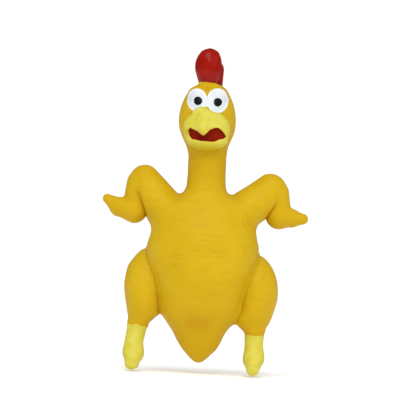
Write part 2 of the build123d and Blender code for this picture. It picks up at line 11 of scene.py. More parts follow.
# Rubber chicken: the look of a squeaky latex toy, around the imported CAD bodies.
#
# Each skin is the zero surface of a distance field: lofts and tapered bones run together,
# with the wrinkles of the latex added, turned into an even mesh of quads.  The skin of
# torso, neck, head and upper wings is one surface, cut where the fields of two bodies meet,
# so that its pieces join without a seam.
#
# Shapes are in millimetres, in the frame of the CAD: +Z up, the chicken looks along -Y.
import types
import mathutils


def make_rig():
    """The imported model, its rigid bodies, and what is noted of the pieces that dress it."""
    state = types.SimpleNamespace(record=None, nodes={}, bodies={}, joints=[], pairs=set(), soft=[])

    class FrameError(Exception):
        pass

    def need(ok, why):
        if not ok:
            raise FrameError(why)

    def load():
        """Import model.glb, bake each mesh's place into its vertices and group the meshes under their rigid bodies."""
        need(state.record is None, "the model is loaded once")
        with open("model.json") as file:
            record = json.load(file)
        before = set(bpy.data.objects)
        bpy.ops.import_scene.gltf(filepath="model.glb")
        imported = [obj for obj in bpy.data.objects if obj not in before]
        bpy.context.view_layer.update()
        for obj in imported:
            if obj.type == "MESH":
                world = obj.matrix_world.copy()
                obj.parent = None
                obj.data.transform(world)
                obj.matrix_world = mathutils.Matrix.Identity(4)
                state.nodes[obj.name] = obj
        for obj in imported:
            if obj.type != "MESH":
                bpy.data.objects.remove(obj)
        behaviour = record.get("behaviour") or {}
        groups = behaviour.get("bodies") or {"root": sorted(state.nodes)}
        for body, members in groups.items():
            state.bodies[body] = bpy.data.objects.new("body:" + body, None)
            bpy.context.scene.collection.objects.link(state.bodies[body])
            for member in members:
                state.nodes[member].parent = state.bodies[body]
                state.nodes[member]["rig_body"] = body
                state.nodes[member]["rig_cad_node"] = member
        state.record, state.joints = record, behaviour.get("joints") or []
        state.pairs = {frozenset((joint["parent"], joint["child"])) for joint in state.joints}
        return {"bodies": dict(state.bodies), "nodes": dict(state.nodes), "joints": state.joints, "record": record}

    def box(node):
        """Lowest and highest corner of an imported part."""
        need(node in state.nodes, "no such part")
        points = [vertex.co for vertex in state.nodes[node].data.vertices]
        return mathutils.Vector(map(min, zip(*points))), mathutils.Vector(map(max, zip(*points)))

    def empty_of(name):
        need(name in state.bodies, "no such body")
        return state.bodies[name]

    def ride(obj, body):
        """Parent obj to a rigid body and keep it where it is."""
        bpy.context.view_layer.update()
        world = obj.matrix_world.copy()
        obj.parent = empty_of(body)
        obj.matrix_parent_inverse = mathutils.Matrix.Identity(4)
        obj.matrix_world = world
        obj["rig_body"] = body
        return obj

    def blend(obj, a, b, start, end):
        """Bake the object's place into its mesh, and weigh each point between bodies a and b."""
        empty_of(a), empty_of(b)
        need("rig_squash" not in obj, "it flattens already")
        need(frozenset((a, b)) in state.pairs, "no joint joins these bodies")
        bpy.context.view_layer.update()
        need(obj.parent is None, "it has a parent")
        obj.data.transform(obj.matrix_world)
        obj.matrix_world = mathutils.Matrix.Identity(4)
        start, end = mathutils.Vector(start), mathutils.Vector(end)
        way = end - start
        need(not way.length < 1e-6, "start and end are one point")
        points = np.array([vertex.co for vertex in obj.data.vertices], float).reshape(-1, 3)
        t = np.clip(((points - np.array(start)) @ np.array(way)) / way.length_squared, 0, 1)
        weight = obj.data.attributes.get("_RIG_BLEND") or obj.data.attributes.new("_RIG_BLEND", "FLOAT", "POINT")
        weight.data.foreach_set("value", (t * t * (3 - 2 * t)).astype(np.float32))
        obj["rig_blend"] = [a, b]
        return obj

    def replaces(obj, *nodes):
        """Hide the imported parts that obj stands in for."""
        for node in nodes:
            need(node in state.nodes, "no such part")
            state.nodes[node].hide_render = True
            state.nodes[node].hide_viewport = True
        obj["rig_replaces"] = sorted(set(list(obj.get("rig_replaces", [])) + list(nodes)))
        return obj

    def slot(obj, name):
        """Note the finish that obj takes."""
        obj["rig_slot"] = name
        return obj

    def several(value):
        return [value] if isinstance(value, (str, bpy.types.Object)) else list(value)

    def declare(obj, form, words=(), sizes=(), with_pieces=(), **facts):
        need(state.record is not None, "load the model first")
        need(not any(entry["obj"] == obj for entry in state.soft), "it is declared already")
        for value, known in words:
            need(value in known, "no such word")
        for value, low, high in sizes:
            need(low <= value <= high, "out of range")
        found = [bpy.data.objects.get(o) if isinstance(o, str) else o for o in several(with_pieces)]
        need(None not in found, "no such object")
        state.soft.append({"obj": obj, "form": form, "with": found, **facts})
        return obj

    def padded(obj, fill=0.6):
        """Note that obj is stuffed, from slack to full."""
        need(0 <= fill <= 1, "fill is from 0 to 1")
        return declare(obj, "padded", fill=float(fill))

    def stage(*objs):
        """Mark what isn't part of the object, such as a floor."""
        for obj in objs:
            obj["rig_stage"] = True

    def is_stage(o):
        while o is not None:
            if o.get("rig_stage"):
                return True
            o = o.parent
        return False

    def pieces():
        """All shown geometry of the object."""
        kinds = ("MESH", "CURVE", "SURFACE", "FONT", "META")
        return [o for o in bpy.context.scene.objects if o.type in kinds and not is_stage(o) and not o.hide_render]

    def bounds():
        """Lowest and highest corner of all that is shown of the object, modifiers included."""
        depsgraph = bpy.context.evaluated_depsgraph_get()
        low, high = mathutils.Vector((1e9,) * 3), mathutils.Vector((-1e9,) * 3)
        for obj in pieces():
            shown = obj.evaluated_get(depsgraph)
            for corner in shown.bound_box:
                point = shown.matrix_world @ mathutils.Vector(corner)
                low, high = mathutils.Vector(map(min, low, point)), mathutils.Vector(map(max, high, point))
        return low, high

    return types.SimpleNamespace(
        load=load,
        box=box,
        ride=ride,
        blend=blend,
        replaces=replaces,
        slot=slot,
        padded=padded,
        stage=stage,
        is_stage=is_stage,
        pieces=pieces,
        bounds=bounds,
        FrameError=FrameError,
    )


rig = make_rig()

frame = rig.load()
whole_low, whole_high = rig.bounds()
MM = 0.001


def box_mm(node):
    """Lowest and highest corner of a CAD node."""
    low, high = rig.box(node)
    return np.array(low) / MM, np.array(high) / MM


def middle_mm(node):
    low, high = box_mm(node)
    return (low + high) / 2


PIVOT = {j["name"]: np.array(j["pos_m"]) / MM for j in frame["joints"] if "pos_m" in j}
SIDES = {"left": -1, "right": 1}  # as seen in a front view

# ---- sizes
BODY_CELL = 0.95  # quad size of torso, neck and head
WING_CELL = BODY_CELL * 0.8
LEG_CELL = BODY_CELL * 0.9
BEAK_CELL = 0.5
COMB_CELL = BEAK_CELL * 1.2
BLOCK = 4  # grid points to each side of the blocks that a field is first tried in


class Station(NamedTuple):
    """An elliptical cross-section at height z: its middle in x, half width, front and back."""

    z: float
    x: float
    half_width: float
    front: float
    back: float


class Crease(NamedTuple):
    """A fold pressed into the front of the skin, from one (x, z) to another."""

    start: tuple
    end: tuple
    sag: float
    depth: float
    width: float


class Ball(NamedTuple):
    middle: tuple
    radii: tuple


class Bone(NamedTuple):
    start: tuple
    start_r: float
    end: tuple
    end_r: float


BODY_SQUARE = 2.3  # how boxy the torso is; 2 is an ellipse
BODY = [
    Station(15.0, 0.7, 9.9, -2.4, 14.6),
    Station(21.0, 0.8, 14.5, -6.5, 18.0),
    Station(27.0, 0.3, 18.1, -10.0, 20.4),
    Station(33.0, 0.0, 21.0, -13.5, 22.5),
    Station(41.0, 0.0, 26.8, -19.6, 25.6),
    Station(48.0, -0.3, 31.6, -24.6, 28.0),
    Station(63.0, 0.0, 35.2, -32.2, 31.6),
    Station(77.0, 0.0, 39.4, -35.6, 33.5),
    Station(89.0, -0.2, 43.4, -36.5, 34.2),
    Station(100.0, -0.2, 45.0, -36.3, 34.5),
    Station(110.0, -0.1, 42.8, -35.0, 34.2),
    Station(120.0, 0.0, 40.4, -32.0, 32.4),
    Station(128.0, 0.0, 37.0, -28.0, 29.0),
    Station(135.0, 0.0, 30.0, -23.4, 24.8),
    Station(141.0, 0.0, 21.8, -19.0, 20.0),
    Station(147.0, 0.0, 16.9, -16.4, 17.0),
    Station(156.0, -0.1, 15.3, -15.6, 15.8),
    Station(166.0, -0.2, 15.1, -15.2, 15.2),
    Station(175.0, -0.5, 15.4, -15.2, 15.4),
    Station(182.0, -1.0, 16.8, -16.0, 16.4),
    Station(188.0, -1.3, 19.4, -18.0, 18.2),
    Station(195.0, -1.7, 22.0, -20.6, 21.2),
    Station(203.0, -1.9, 22.8, -22.3, 23.2),
    Station(210.0, -2.0, 22.1, -22.4, 23.4),
    Station(217.0, -2.0, 20.2, -20.6, 22.0),
    Station(223.5, -2.0, 17.2, -17.0, 19.2),
    Station(228.5, -1.8, 13.8, -12.6, 16.4),
    Station(232.5, -1.0, 9.0, -8.0, 12.0),
]
ROUND_FROM = (140.0, 150.0)  # heights between which the boxy torso turns into a round neck
TAIL = Ball((0.8, 6.0, 16.4), (7.4, 7.4, 7.4))
BROWS = (Ball((-10.4, -8.4, 222.4), (8.4, 9.4, 7.6)), Ball((5.2, -8.4, 222.4), (8.4, 9.4, 7.6)))
COMB_FOLD = (  # the latex gathered under the front of the comb
    Bone((-8.6, -5.4, 232.2), 1.6, (-4.3, -8.2, 231.0), 2.2),
    Bone((-4.3, -8.2, 231.0), 2.2, (3.0, -7.2, 230.8), 1.6),
)
FACE_CALM = (184, 194)  # heights between which the wrinkles fade out

# The collar of latex around the squeaker
COLLAR_WIDTH = 1.9
COLLAR_DEPTH = 2.8
COLLAR_R = 1.8
POCKET_GAP = 0.05

# Wings: the radii of their knuckles, and the (x, z) of places, each from a pivot of the frame
SHOULDER_R = 11.9
ARMPIT_R = 11.9
FORE_TOP_R = 10.4
WRIST_R = 9.8
WING = {
    "left": {
        "elbow_r": 11.9,
        "fore_top": (-3.8, -3.2),
        "palm": (-12.2, 2.0),
        "palm_r": 7.9,
        "tip": (-22.0, 8.1),
        "tip_r": 3.7,
        "armpit": (-5.4, -6.6),
    },
    "right": {
        "elbow_r": 12.7,
        "fore_top": (4.7, -2.8),
        "palm": (10.6, -1.1),
        "palm_r": 7.4,
        "tip": (19.2, -1.3),
        "tip_r": 4.4,
        "armpit": (6.6, -4.6),
    },
}
ELBOW_SLIP = 0.5  # the forearm's elbow is this much smaller than the upper wing's
WEB_END = (-2.0, 0, -8.0)  # from the elbow; x is outward
PAD_START = (0, -9.0, -6.5)  # of the chest muscle, from the shoulder
PAD_START_R = 12.8
PAD_END = (-5.0, -4.0, -8.0)  # from the elbow; x is outward
PAD_END_R = 10.0
# Painted shade where a forearm rests on the torso: where it comes in, and how strong it is.
ELBOW_CLEAR = (1.0, 5.0)  # distances from the elbow between which an armpit's tint comes in
ARMPIT_SHADE = 0.95
WRIST_LEAN = (0.84, -0.54)  # the direction, outward and up, in which a wing turns at its wrist
WRIST_REACH = 6.0  # mm to each side of the wrist

# Legs
THIGH_DEPTH = [  # front and back of the stations of both thighs
    (-8.4, 8.4),
    (-9.4, 9.8),
    (-11.2, 13.0),
    (-13.4, 16.5),
    (-15.4, 20.5),
    (-17.0, 24.5),
    (-17.4, 26.5),
    (-15.6, 26.0),
    (-12.4, 24.0),
    (-8.0, 20.0),
    (-1.0, 14.0),
]
THIGH_FRONT = {  # z, x and half width
    "left": [
        (35.0, -49.4, 8.1),
        (39.0, -48.4, 8.8),
        (43.0, -46.5, 10.8),
        (47.0, -44.8, 13.3),
        (52.0, -44.3, 14.8),
        (60.0, -44.4, 16.3),
        (70.0, -44.2, 17.4),
        (78.0, -43.8, 16.9),
        (85.0, -43.4, 15.3),
        (91.0, -42.4, 12.1),
        (98.5, -40.8, 7.8),
    ],
    "right": [
        (35.0, 44.5, 8.1),
        (39.0, 42.8, 10.7),
        (43.0, 41.9, 13.9),
        (47.0, 42.3, 15.2),
        (52.0, 43.7, 15.4),
        (60.0, 44.8, 16.4),
        (70.0, 44.6, 17.2),
        (78.0, 43.6, 16.8),
        (85.0, 42.8, 15.0),
        (91.0, 41.8, 12.0),
        (97.5, 40.4, 7.6),
    ],
}
THIGH = {
    side: [Station(*seen, *depth) for seen, depth in zip(rows, THIGH_DEPTH)]
    for side, rows in THIGH_FRONT.items()
}
SHANK_X = {"left": -49.0, "right": 44.5}
FOOT_X = {"left": -51.2, "right": 44.7}
TOE_SHIFT = {"left": -1.3, "right": -0.2}  # of the tip of each toe, in x
PAINT_LINE = {"left": 36.9, "right": 33.4}  # top of the painted foot
TOE_ARC_Z = 9.6  # height of the shallow line across each toe
TOE_ARC_BEND = 0.06  # how it rises to both sides
TOE_ARC_Y = (4, 8)  # how far forward the line fades in
SOLE_Z = 0.05  # height of the plane that the soles are rounded against
HIP_WEB = {"left": (3.2, 3.6), "right": (7.0, 4.0)}  # width of the skin's web at a thigh, low and high
HIP_WEB_RISE = (50, 62)  # heights between which it widens
HIP_WEB_CAP = 0.35  # of its width, which is as far as it stands out
HIP_WEB_TOP = 108  # above this there is none
# The line between torso and thigh is painted shade.
HIP_SHADE = {"left": 0.55, "right": 0.06}  # how dark the line between torso and thigh is

# Folds pressed into the chest and belly
CREASES = [
    Crease((-27.0, 92.5), (-14.0, 93.5), 1.6, 0.28, 1.0),
    Crease((-25.0, 88.5), (-17.0, 87.5), -1.0, 0.24, 0.9),
    Crease((-23.0, 84.0), (-15.0, 84.8), 1.0, 0.26, 0.9),
    Crease((-21.0, 80.5), (-16.0, 81.0), 0.7, 0.20, 0.9),
    Crease((2.0, 100.0), (17.0, 98.0), -1.2, 0.24, 0.9),
    Crease((9.0, 95.5), (18.0, 94.5), -0.8, 0.18, 0.9),
    Crease((6.0, 112.5), (15.0, 111.5), -0.8, 0.18, 0.9),
    Crease((-4.0, 107.0), (6.0, 106.0), 0.6, 0.16, 0.9),
    Crease((-12.0, 119.0), (4.0, 118.0), 1.0, 0.17, 0.9),
    Crease((30.0, 104.0), (35.0, 98.0), 1.0, 0.26, 1.0),
    Crease((14.0, 80.0), (24.0, 83.0), 1.2, 0.18, 0.9),
    Crease((16.0, 74.0), (23.0, 76.0), 0.8, 0.16, 0.9),
    Crease((34.0, 131.0), (38.5, 119.0), -1.4, 0.42, 1.1),
    Crease((31.0, 128.0), (35.0, 117.0), -1.0, 0.28, 1.0),
    Crease((37.0, 127.0), (41.0, 120.0), -0.8, 0.26, 1.0),
    Crease((-28.0, 138.0), (-17.0, 136.0), 0.8, 0.20, 1.0),
    Crease((-12.0, 147.0), (10.0, 146.0), 1.2, 0.16, 0.9),
    Crease((-8.0, 158.0), (11.0, 159.0), -0.8, 0.14, 0.9),
    Crease((-10.0, 62.0), (3.0, 60.5), 0.8, 0.16, 0.9),
]
VENT_X = -1.0
VENT_Z = 41.0
VENT_HALF = (11.5, 6.2)
VENT_DEPTH = 0.9
# How strong the painted shade in the vent's hollow is.
VENT_SHADE = 0.34

# Front lobe of the comb; x, front and back are from the line that the comb flops about
COMB = [
    Station(226.0, -0.6, 7.4, -13.0, 2.0),
    Station(233.0, -0.8, 7.8, -13.6, 2.6),
    Station(238.0, -1.2, 9.2, -15.0, 3.6),
    Station(243.0, -1.4, 10.4, -15.8, 4.4),
    Station(247.5, -1.3, 10.6, -15.8, 4.4),
    Station(252.0, -1.1, 9.9, -15.0, 3.6),
    Station(256.0, -0.8, 8.2, -13.2, 2.2),
    Station(259.0, -0.6, 5.8, -11.0, 0.0),
    Station(260.9, -0.5, 3.0, -8.4, -2.6),
]

# Face
WHITE_GROWN = {"left": -0.1, "right": 0.15}  # paint past the edge of the CAD piece
WHITE_RAISED = 0.55
WHITE_BULGE = 0.9
PUPIL_SHIFT = {"left": (0.0, -0.3), "right": (0.0, -0.9)}
PUPIL_RAISED = 0.35
PUPIL_BULGE = 0.7
BRIDGE_LOWER = (0.3, 1.2)  # of the white paint that joins both whites, from midway between them
BRIDGE_HALF = (3.4, 4.2)
SPLASH = (13.3, 220.4)  # (x, z) of a splash of white paint beside an eye
SPLASH_HALF = (1.2, 1.6)
MUZZLE = Ball((-2.1, -16.2, 195.7), (18.9, 13.6, 16.3))
BEAK_RIDGE = Bone((-5.2, -20.0, 209.6), 3.6, (-4.4, -31.0, 194.6), 3.5)
LOWER_LIP = Ball((-1.3, -19.8, 188.0), (16.4, 9.8, 8.8))
DROPS = (  # beak paint that runs over the whites
    Ball((-8.6, -22.2, 210.6), (2.7, 1.9, 1.8)),
    Ball((-11.6, -21.4, 208.6), (2.7, 1.9, 1.8)),
)
MOUTH_TOP = [  # (x, z) from the middle of the mouth, from one corner to the other
    (-14.4, 2.1),
    (-13.4, 3.8),
    (-11.7, 3.3),
    (-9.7, 2.6),
    (-7.1, 1.3),
    (-4.4, -0.8),
    (-2.4, -1.6),
    (-0.4, -0.2),
    (2.2, 2.6),
    (5.6, 4.6),
    (7.6, 5.1),
    (9.6, 4.8),
    (11.9, 3.1),
    (14.2, 0.5),
    (15.1, -1.0),
]
MOUTH_LOW = [  # the same, along the lower lip
    (-14.4, 1.8),
    (-13.7, -0.9),
    (-12.1, -3.5),
    (-8.4, -4.6),
    (-4.4, -5.4),
    (-0.4, -5.5),
    (3.6, -5.8),
    (7.6, -5.1),
    (10.2, -3.7),
    (13.9, -2.4),
    (15.1, -1.3),
]
MOUTH_FLOOR = -21.5  # y of the back of the mouth


# ---- distance fields
def smooth_curve(z, knots, values):
    """A smooth curve through values at knots, held level past its ends."""
    knots = np.array(knots)
    values = np.array(values)
    z = np.clip(z, knots[0], knots[-1])
    slope = np.gradient(values, knots)
    i = np.clip(np.searchsorted(knots, z) - 1, 0, len(knots) - 2)
    span = knots[i + 1] - knots[i]
    t = (z - knots[i]) / span
    rise = (1 + 2 * t) * (1 - t) ** 2 * values[i] + t * t * (3 - 2 * t) * values[i + 1]
    return rise + span * (t * (1 - t) ** 2 * slope[i] - t * t * (1 - t) * slope[i + 1])


def smooth_min(a, b, width):
    """Both shapes, run together over a width."""
    h = np.maximum(width - np.abs(a - b), 0) / width
    return np.minimum(a, b) - h * h * width / 4


def smooth_max(a, b, width):
    """What two shapes share, with the edge rounded over a width."""
    return -smooth_min(-a, -b, width)


def smooth_step(low, high, value):
    t = np.clip((value - low) / (high - low), 0, 1)
    return t * t * (3 - 2 * t)


def loft(p, stations, square=2.0, round_top=4.0, round_low=4.0):
    """Elliptical stations joined smoothly; square above 2 makes them boxier."""
    knots, x, half, front, back = (np.array(column) for column in zip(*stations))
    z = p[:, 2]
    depth = (back - front) / 2
    a = smooth_curve(z, knots, half)
    b = smooth_curve(z, knots, depth)
    u = np.abs(p[:, 0] - smooth_curve(z, knots, x)) / a
    v = np.abs(p[:, 1] - smooth_curve(z, knots, (front + back) / 2)) / b
    tiny = 1e-6
    size = (u**square + v**square + tiny) ** (1 / square)
    steep = np.hypot(u ** (square - 1) / a, v ** (square - 1) / b) * size ** (1 - square)
    side = (size - 1) / (steep + tiny)
    return smooth_max(smooth_max(side, z - knots[-1], round_top), knots[0] - z, round_low)


def bone(p, a, a_r, b, b_r):
    """A tapered bone with round ends."""
    a = np.array(a, float)
    along = np.array(b, float) - a
    t = np.clip((p - a) @ along / (along @ along), 0, 1)
    return np.linalg.norm(p - a - t[:, None] * along, axis=1) - (a_r + t * (b_r - a_r))


def ball(p, middle, radii):
    """An ellipsoid."""
    radii = np.array(radii, float)
    q = (p - np.array(middle)) / radii
    size = np.linalg.norm(q, axis=1)
    steep = np.linalg.norm(q / radii, axis=1)
    return size * (size - 1) / (steep + 1e-6)


class Noise:
    """Smooth seeded noise between -1 and 1, for points measured in its own cells."""

    SIZE = 32

    def __init__(self, seed):
        self.lattice = np.random.default_rng(seed).uniform(-1, 1, (self.SIZE,) * 3)

    def __call__(self, p):
        low = np.floor(p).astype(int)
        t = p - low
        t = t * t * (3 - 2 * t)
        total = np.zeros(len(p))
        for corner in np.ndindex(2, 2, 2):
            weight = np.prod(np.where(corner, t, 1 - t), axis=1)
            i, j, k = ((low + corner) % self.SIZE).T
            total += weight * self.lattice[i, j, k]
        return total


wrinkle_noise = Noise(11)
lump_noise = Noise(23)

NECK_SCALE = (6.5, 7.0, 2.1)  # the wrinkles' length and spacing, in mm
LUMP_SCALE = 11.0


def wrinkles(p, height=0.09, lumps=0.22):
    """Fine level wrinkles and broad unevenness, as a height above the plain shape."""
    waved = p + 1.6 * np.column_stack([p[:, 0] * 0, p[:, 0] * 0, np.sin(p[:, 0] / 6.0)])
    fine = wrinkle_noise(waved / NECK_SCALE)
    return height * fine + lumps * lump_noise(p / LUMP_SCALE)


def pressed(p, crease):
    """How far a crease presses the skin in at each point."""
    (x0, z0), (x1, z1) = crease.start, crease.end
    along = np.array([x1 - x0, z1 - z0])
    length = np.hypot(*along)
    along = along / length
    rel = p[:, [0, 2]] - (x0, z0)
    t = rel @ along / length
    off = rel @ np.array([-along[1], along[0]]) - crease.sag * 4 * t * (1 - t)
    ends = np.clip(1 - (2 * t - 1) ** 4, 0, 1) * (np.abs(t - 0.5) < 0.5)
    lip = 0.35 * np.exp(-(((np.abs(off) - 2.2 * crease.width) / crease.width) ** 2))
    return crease.depth * ends * (np.exp(-((off / crease.width) ** 2)) - lip) * (p[:, 1] < 6)


def wing_place(side, name, base):
    """A place in the plane of the wings, given as an (x, z) offset from a pivot."""
    x, z = WING[side][name]
    return PIVOT[f"{base}_{side}"] + (x, 0, z)


def outward(side, offset):
    """An offset whose x points away from the middle of the toy."""
    x, y, z = offset
    return np.array([x * SIDES[side], y, z])


def upper_wing(p, side):
    w = WING[side]
    shoulder = PIVOT[f"wing_flap_{side}"]
    elbow = PIVOT[f"wing_elbow_{side}"]
    top = bone(p, shoulder, SHOULDER_R, elbow, w["elbow_r"])
    armpit = wing_place(side, "armpit", "wing_flap")
    web = bone(p, armpit, ARMPIT_R, elbow + outward(side, WEB_END), w["elbow_r"] - 1.0)
    pad_start = shoulder + outward(side, PAD_START)
    pad = bone(p, pad_start, PAD_START_R, elbow + outward(side, PAD_END), PAD_END_R)
    return smooth_min(smooth_min(top, web, 3.0), pad, 5.0)


def thigh_loft(p, side):
    return loft(p, THIGH[side], round_top=5.0, round_low=2.0)


def drawn_out(p, skin):
    """The skin of the torso drawn out into a soft web where each thigh meets it."""
    for side in SIDES:
        low, high = HIP_WEB[side]
        width = low + (high - low) * smooth_step(*HIP_WEB_RISE, p[:, 2])
        web = smooth_min(skin, thigh_loft(p, side), width)
        skin = smooth_max(web, skin - HIP_WEB_CAP * width, 0.3)
    return skin


def squeaker_rim(p):
    """The collar of latex around the squeaker, and the pocket that the squeaker sits in."""
    low, high = box_mm("squeaker_cup")
    middle = (low + high) / 2
    radius = (high[0] - low[0]) / 2
    r = np.hypot(p[:, 0] - middle[0], p[:, 2] - middle[2])
    past_side = np.maximum(r - radius - COLLAR_WIDTH, 0)
    past_end = np.maximum(p[:, 1] - high[1] + COLLAR_DEPTH, 0)
    ring = np.hypot(past_side, past_end) - COLLAR_R
    ring = np.maximum(ring, low[1] - p[:, 1])
    pocket = np.maximum(r - radius - POCKET_GAP, low[1] - 1 - p[:, 1])
    return ring, pocket


def mouth_hole(p, grow=0.0, floor=MOUTH_FLOOR):
    """The open mouth: its outline carried back to its floor."""
    middle = middle_mm("mouth_lining")
    x = p[:, 0] - middle[0]
    z = p[:, 2] - middle[2]
    top = smooth_curve(x, *zip(*MOUTH_TOP))
    low = smooth_curve(x, *zip(*MOUTH_LOW))
    ends = np.maximum(MOUTH_TOP[0][0] - x, x - MOUTH_TOP[-1][0])
    outline = np.maximum(np.maximum(z - top, low - z) * 0.8, ends)
    return np.maximum(outline - grow, p[:, 1] - floor)


def plain_body(p):
    """Torso, neck, head and upper wings, without wrinkles."""
    torso = loft(p, BODY, BODY_SQUARE)
    head = loft(p, BODY)
    share = smooth_step(*ROUND_FROM, p[:, 2])
    skin = torso + share * (head - torso)
    skin = smooth_min(skin, ball(p, *TAIL), 5.0)
    for side in SIDES:
        skin = smooth_min(skin, upper_wing(p, side), 6.0)
    low = p[:, 2] < HIP_WEB_TOP
    skin[low] = drawn_out(p[low], skin[low])
    for brow in BROWS:
        skin = smooth_min(skin, ball(p, *brow), 2.6)
    fold = smooth_min(bone(p, *COMB_FOLD[0]), bone(p, *COMB_FOLD[1]), 1.0)
    skin = smooth_min(skin, fold, 3.0)
    ring, pocket = squeaker_rim(p)
    skin = smooth_min(skin, ring, 5.0)
    skin = smooth_max(skin, -pocket, 0.8)
    return smooth_max(skin, -mouth_hole(p, 0.8, MOUTH_FLOOR + 2.0), 0.8)


def in_vent(p, inner):
    """1 in the middle of the shallow hollow low on the belly, fading out from its inner edge."""
    off = np.hypot((p[:, 0] - VENT_X) / VENT_HALF[0], (p[:, 2] - VENT_Z) / VENT_HALF[1])
    return 1 - smooth_step(inner, 1.25, off)


def body(p):
    """The finished surface of torso, neck, head and upper wings."""
    height = wrinkles(p) * (1 - 0.85 * smooth_step(*FACE_CALM, p[:, 2]))
    for crease in CREASES:
        height = height - pressed(p, crease)
    front = p[:, 1] < 0
    height = height - front * VENT_DEPTH * in_vent(p, 0.5)
    return plain_body(p) - height


def fore_wing(side):
    """The field of a forearm with its wing tip."""
    w = WING[side]
    elbow = PIVOT[f"wing_elbow_{side}"]
    wrist = PIVOT[f"wing_wrist_{side}"]
    top = wing_place(side, "fore_top", "wing_elbow")
    palm = wing_place(side, "palm", "wing_wrist")
    tip = wing_place(side, "tip", "wing_wrist")

    def field(p):
        arm = bone(p, top, FORE_TOP_R, wrist, WRIST_R)
        joint = np.linalg.norm(p - elbow, axis=1) - w["elbow_r"] + ELBOW_SLIP
        arm = smooth_min(arm, joint, 2.0)
        hand = bone(p, wrist, WRIST_R, palm, w["palm_r"])
        hand = smooth_min(hand, bone(p, palm, w["palm_r"], tip, w["tip_r"]), 0.5)
        return smooth_min(arm, hand, 3.0) - wrinkles(p, 0.10, 0.18) * smooth_step(0, 8, joint)

    return field


def toe_line(p, side, width):
    """The shallow line that runs across a toe."""
    arc = p[:, 2] - TOE_ARC_Z - TOE_ARC_BEND * (p[:, 0] - FOOT_X[side]) ** 2
    return 0.22 * np.exp(-((arc / width) ** 2)) * smooth_step(*TOE_ARC_Y, -p[:, 1])


def leg(side):
    """The field of a drumstick with its shank and foot."""
    shank = SHANK_X[side]
    foot = FOOT_X[side]
    sign = SIDES[side]

    def field(p):
        skin = thigh_loft(p, side)
        skin = smooth_min(skin, bone(p, (shank, 0, 38), 8.0, (foot - 0.1, -1.0, 24), 7.4), 2.0)
        knuckle = ball(p, (foot + 0.3 * sign, -3.6, 16.8), (8.3, 9.0, 8.6))
        toe = bone(p, (foot, -5.5, 13.0), 8.1, (foot + TOE_SHIFT[side], -15.0, 6.3), 5.1)
        heel = bone(p, (foot, 3.0, 12.0), 6.8, (foot, 6.5, 5.8), 4.8)
        sole = smooth_min(smooth_min(toe, heel, 5.0), knuckle, 3.0)
        skin = smooth_min(skin, sole, 3.5)
        skin = smooth_max(skin, SOLE_Z - p[:, 2], 2.4)
        latex = smooth_step(30, 44, p[:, 2])  # the paint below is smoother
        return skin + toe_line(p, side, 1.1) - wrinkles(p, 0.08, 0.2) * (0.1 + 0.9 * latex)

    return field


def comb(p):
    """Three lobes, the tallest in front."""
    x, y, _ = PIVOT["comb_flop"]
    front = loft(p, [s._replace(x=x + s.x, front=y + s.front, back=y + s.back) for s in COMB])
    middle = bone(p, (x + 2.4, y + 5.4, 226), 8.0, (x + 2.7, y + 7.2, 244), 8.6)
    back = bone(p, (x + 1.8, y + 11.0, 224), 6.2, (x + 2.2, y + 15.2, 238), 6.6)
    lobes = smooth_min(smooth_min(front, middle, 1.6), back, 1.8)
    return lobes - 0.12 * lump_noise(p / 8.0)


def solid_muzzle(p):
    """Beak and lips, before the mouth is cut."""
    skin = smooth_min(ball(p, *MUZZLE), bone(p, *BEAK_RIDGE), 5.5)
    skin = smooth_min(skin, ball(p, *LOWER_LIP), 3.0)
    for drop in DROPS:
        skin = smooth_min(skin, ball(p, *drop), 2.0)
    return skin


def muzzle(p):
    skin = smooth_max(solid_muzzle(p), -mouth_hole(p), 1.5)
    return skin - 0.08 * lump_noise(p / 7.0)


# ---- fields into meshes
REACH = 0.05  # mm to each side of a point, for the slope of a field there


def slope(field, p):
    """The gradient of a field at each point."""
    steps = np.eye(3) * REACH
    return np.column_stack([(field(p + step) - field(p - step)) / (2 * REACH) for step in steps])


def unit(v):
    return v / np.maximum(np.linalg.norm(v, axis=1), 1e-9)[:, None]


def nearer(field, p, g, cap):
    """Points moved along a gradient g to where the field should be zero, no further than cap."""
    step = field(p)[:, None] * g / np.maximum((g * g).sum(1), 0.05)[:, None]
    length = np.maximum(np.linalg.norm(step, axis=1), 1e-9)[:, None]
    return p - step * np.minimum(1, cap / length)


def settle(field, p, rounds=3):
    """Move points onto the surface of a field."""
    for _ in range(rounds):
        p = nearer(field, p, slope(field, p), 0.6)
    return p


def sample(field, axes, cell):
    """Field values on a grid, exact near the surface and only the right sign elsewhere."""
    centre = [a.reshape(-1, BLOCK).mean(1) for a in axes]
    coarse = np.stack(np.meshgrid(*centre, indexing="ij"), -1).reshape(-1, 3)
    rough = field(coarse).reshape([len(c) for c in centre])
    near = np.abs(rough) < BLOCK * cell * 1.9
    values = np.where(rough < 0, -1.0, 1.0) * 99
    for axis in range(3):
        values = values.repeat(BLOCK, axis)
        near = near.repeat(BLOCK, axis)
    i, j, k = np.nonzero(near)
    values[i, j, k] = field(np.column_stack([axes[0][i], axes[1][j], axes[2][k]]))
    return values


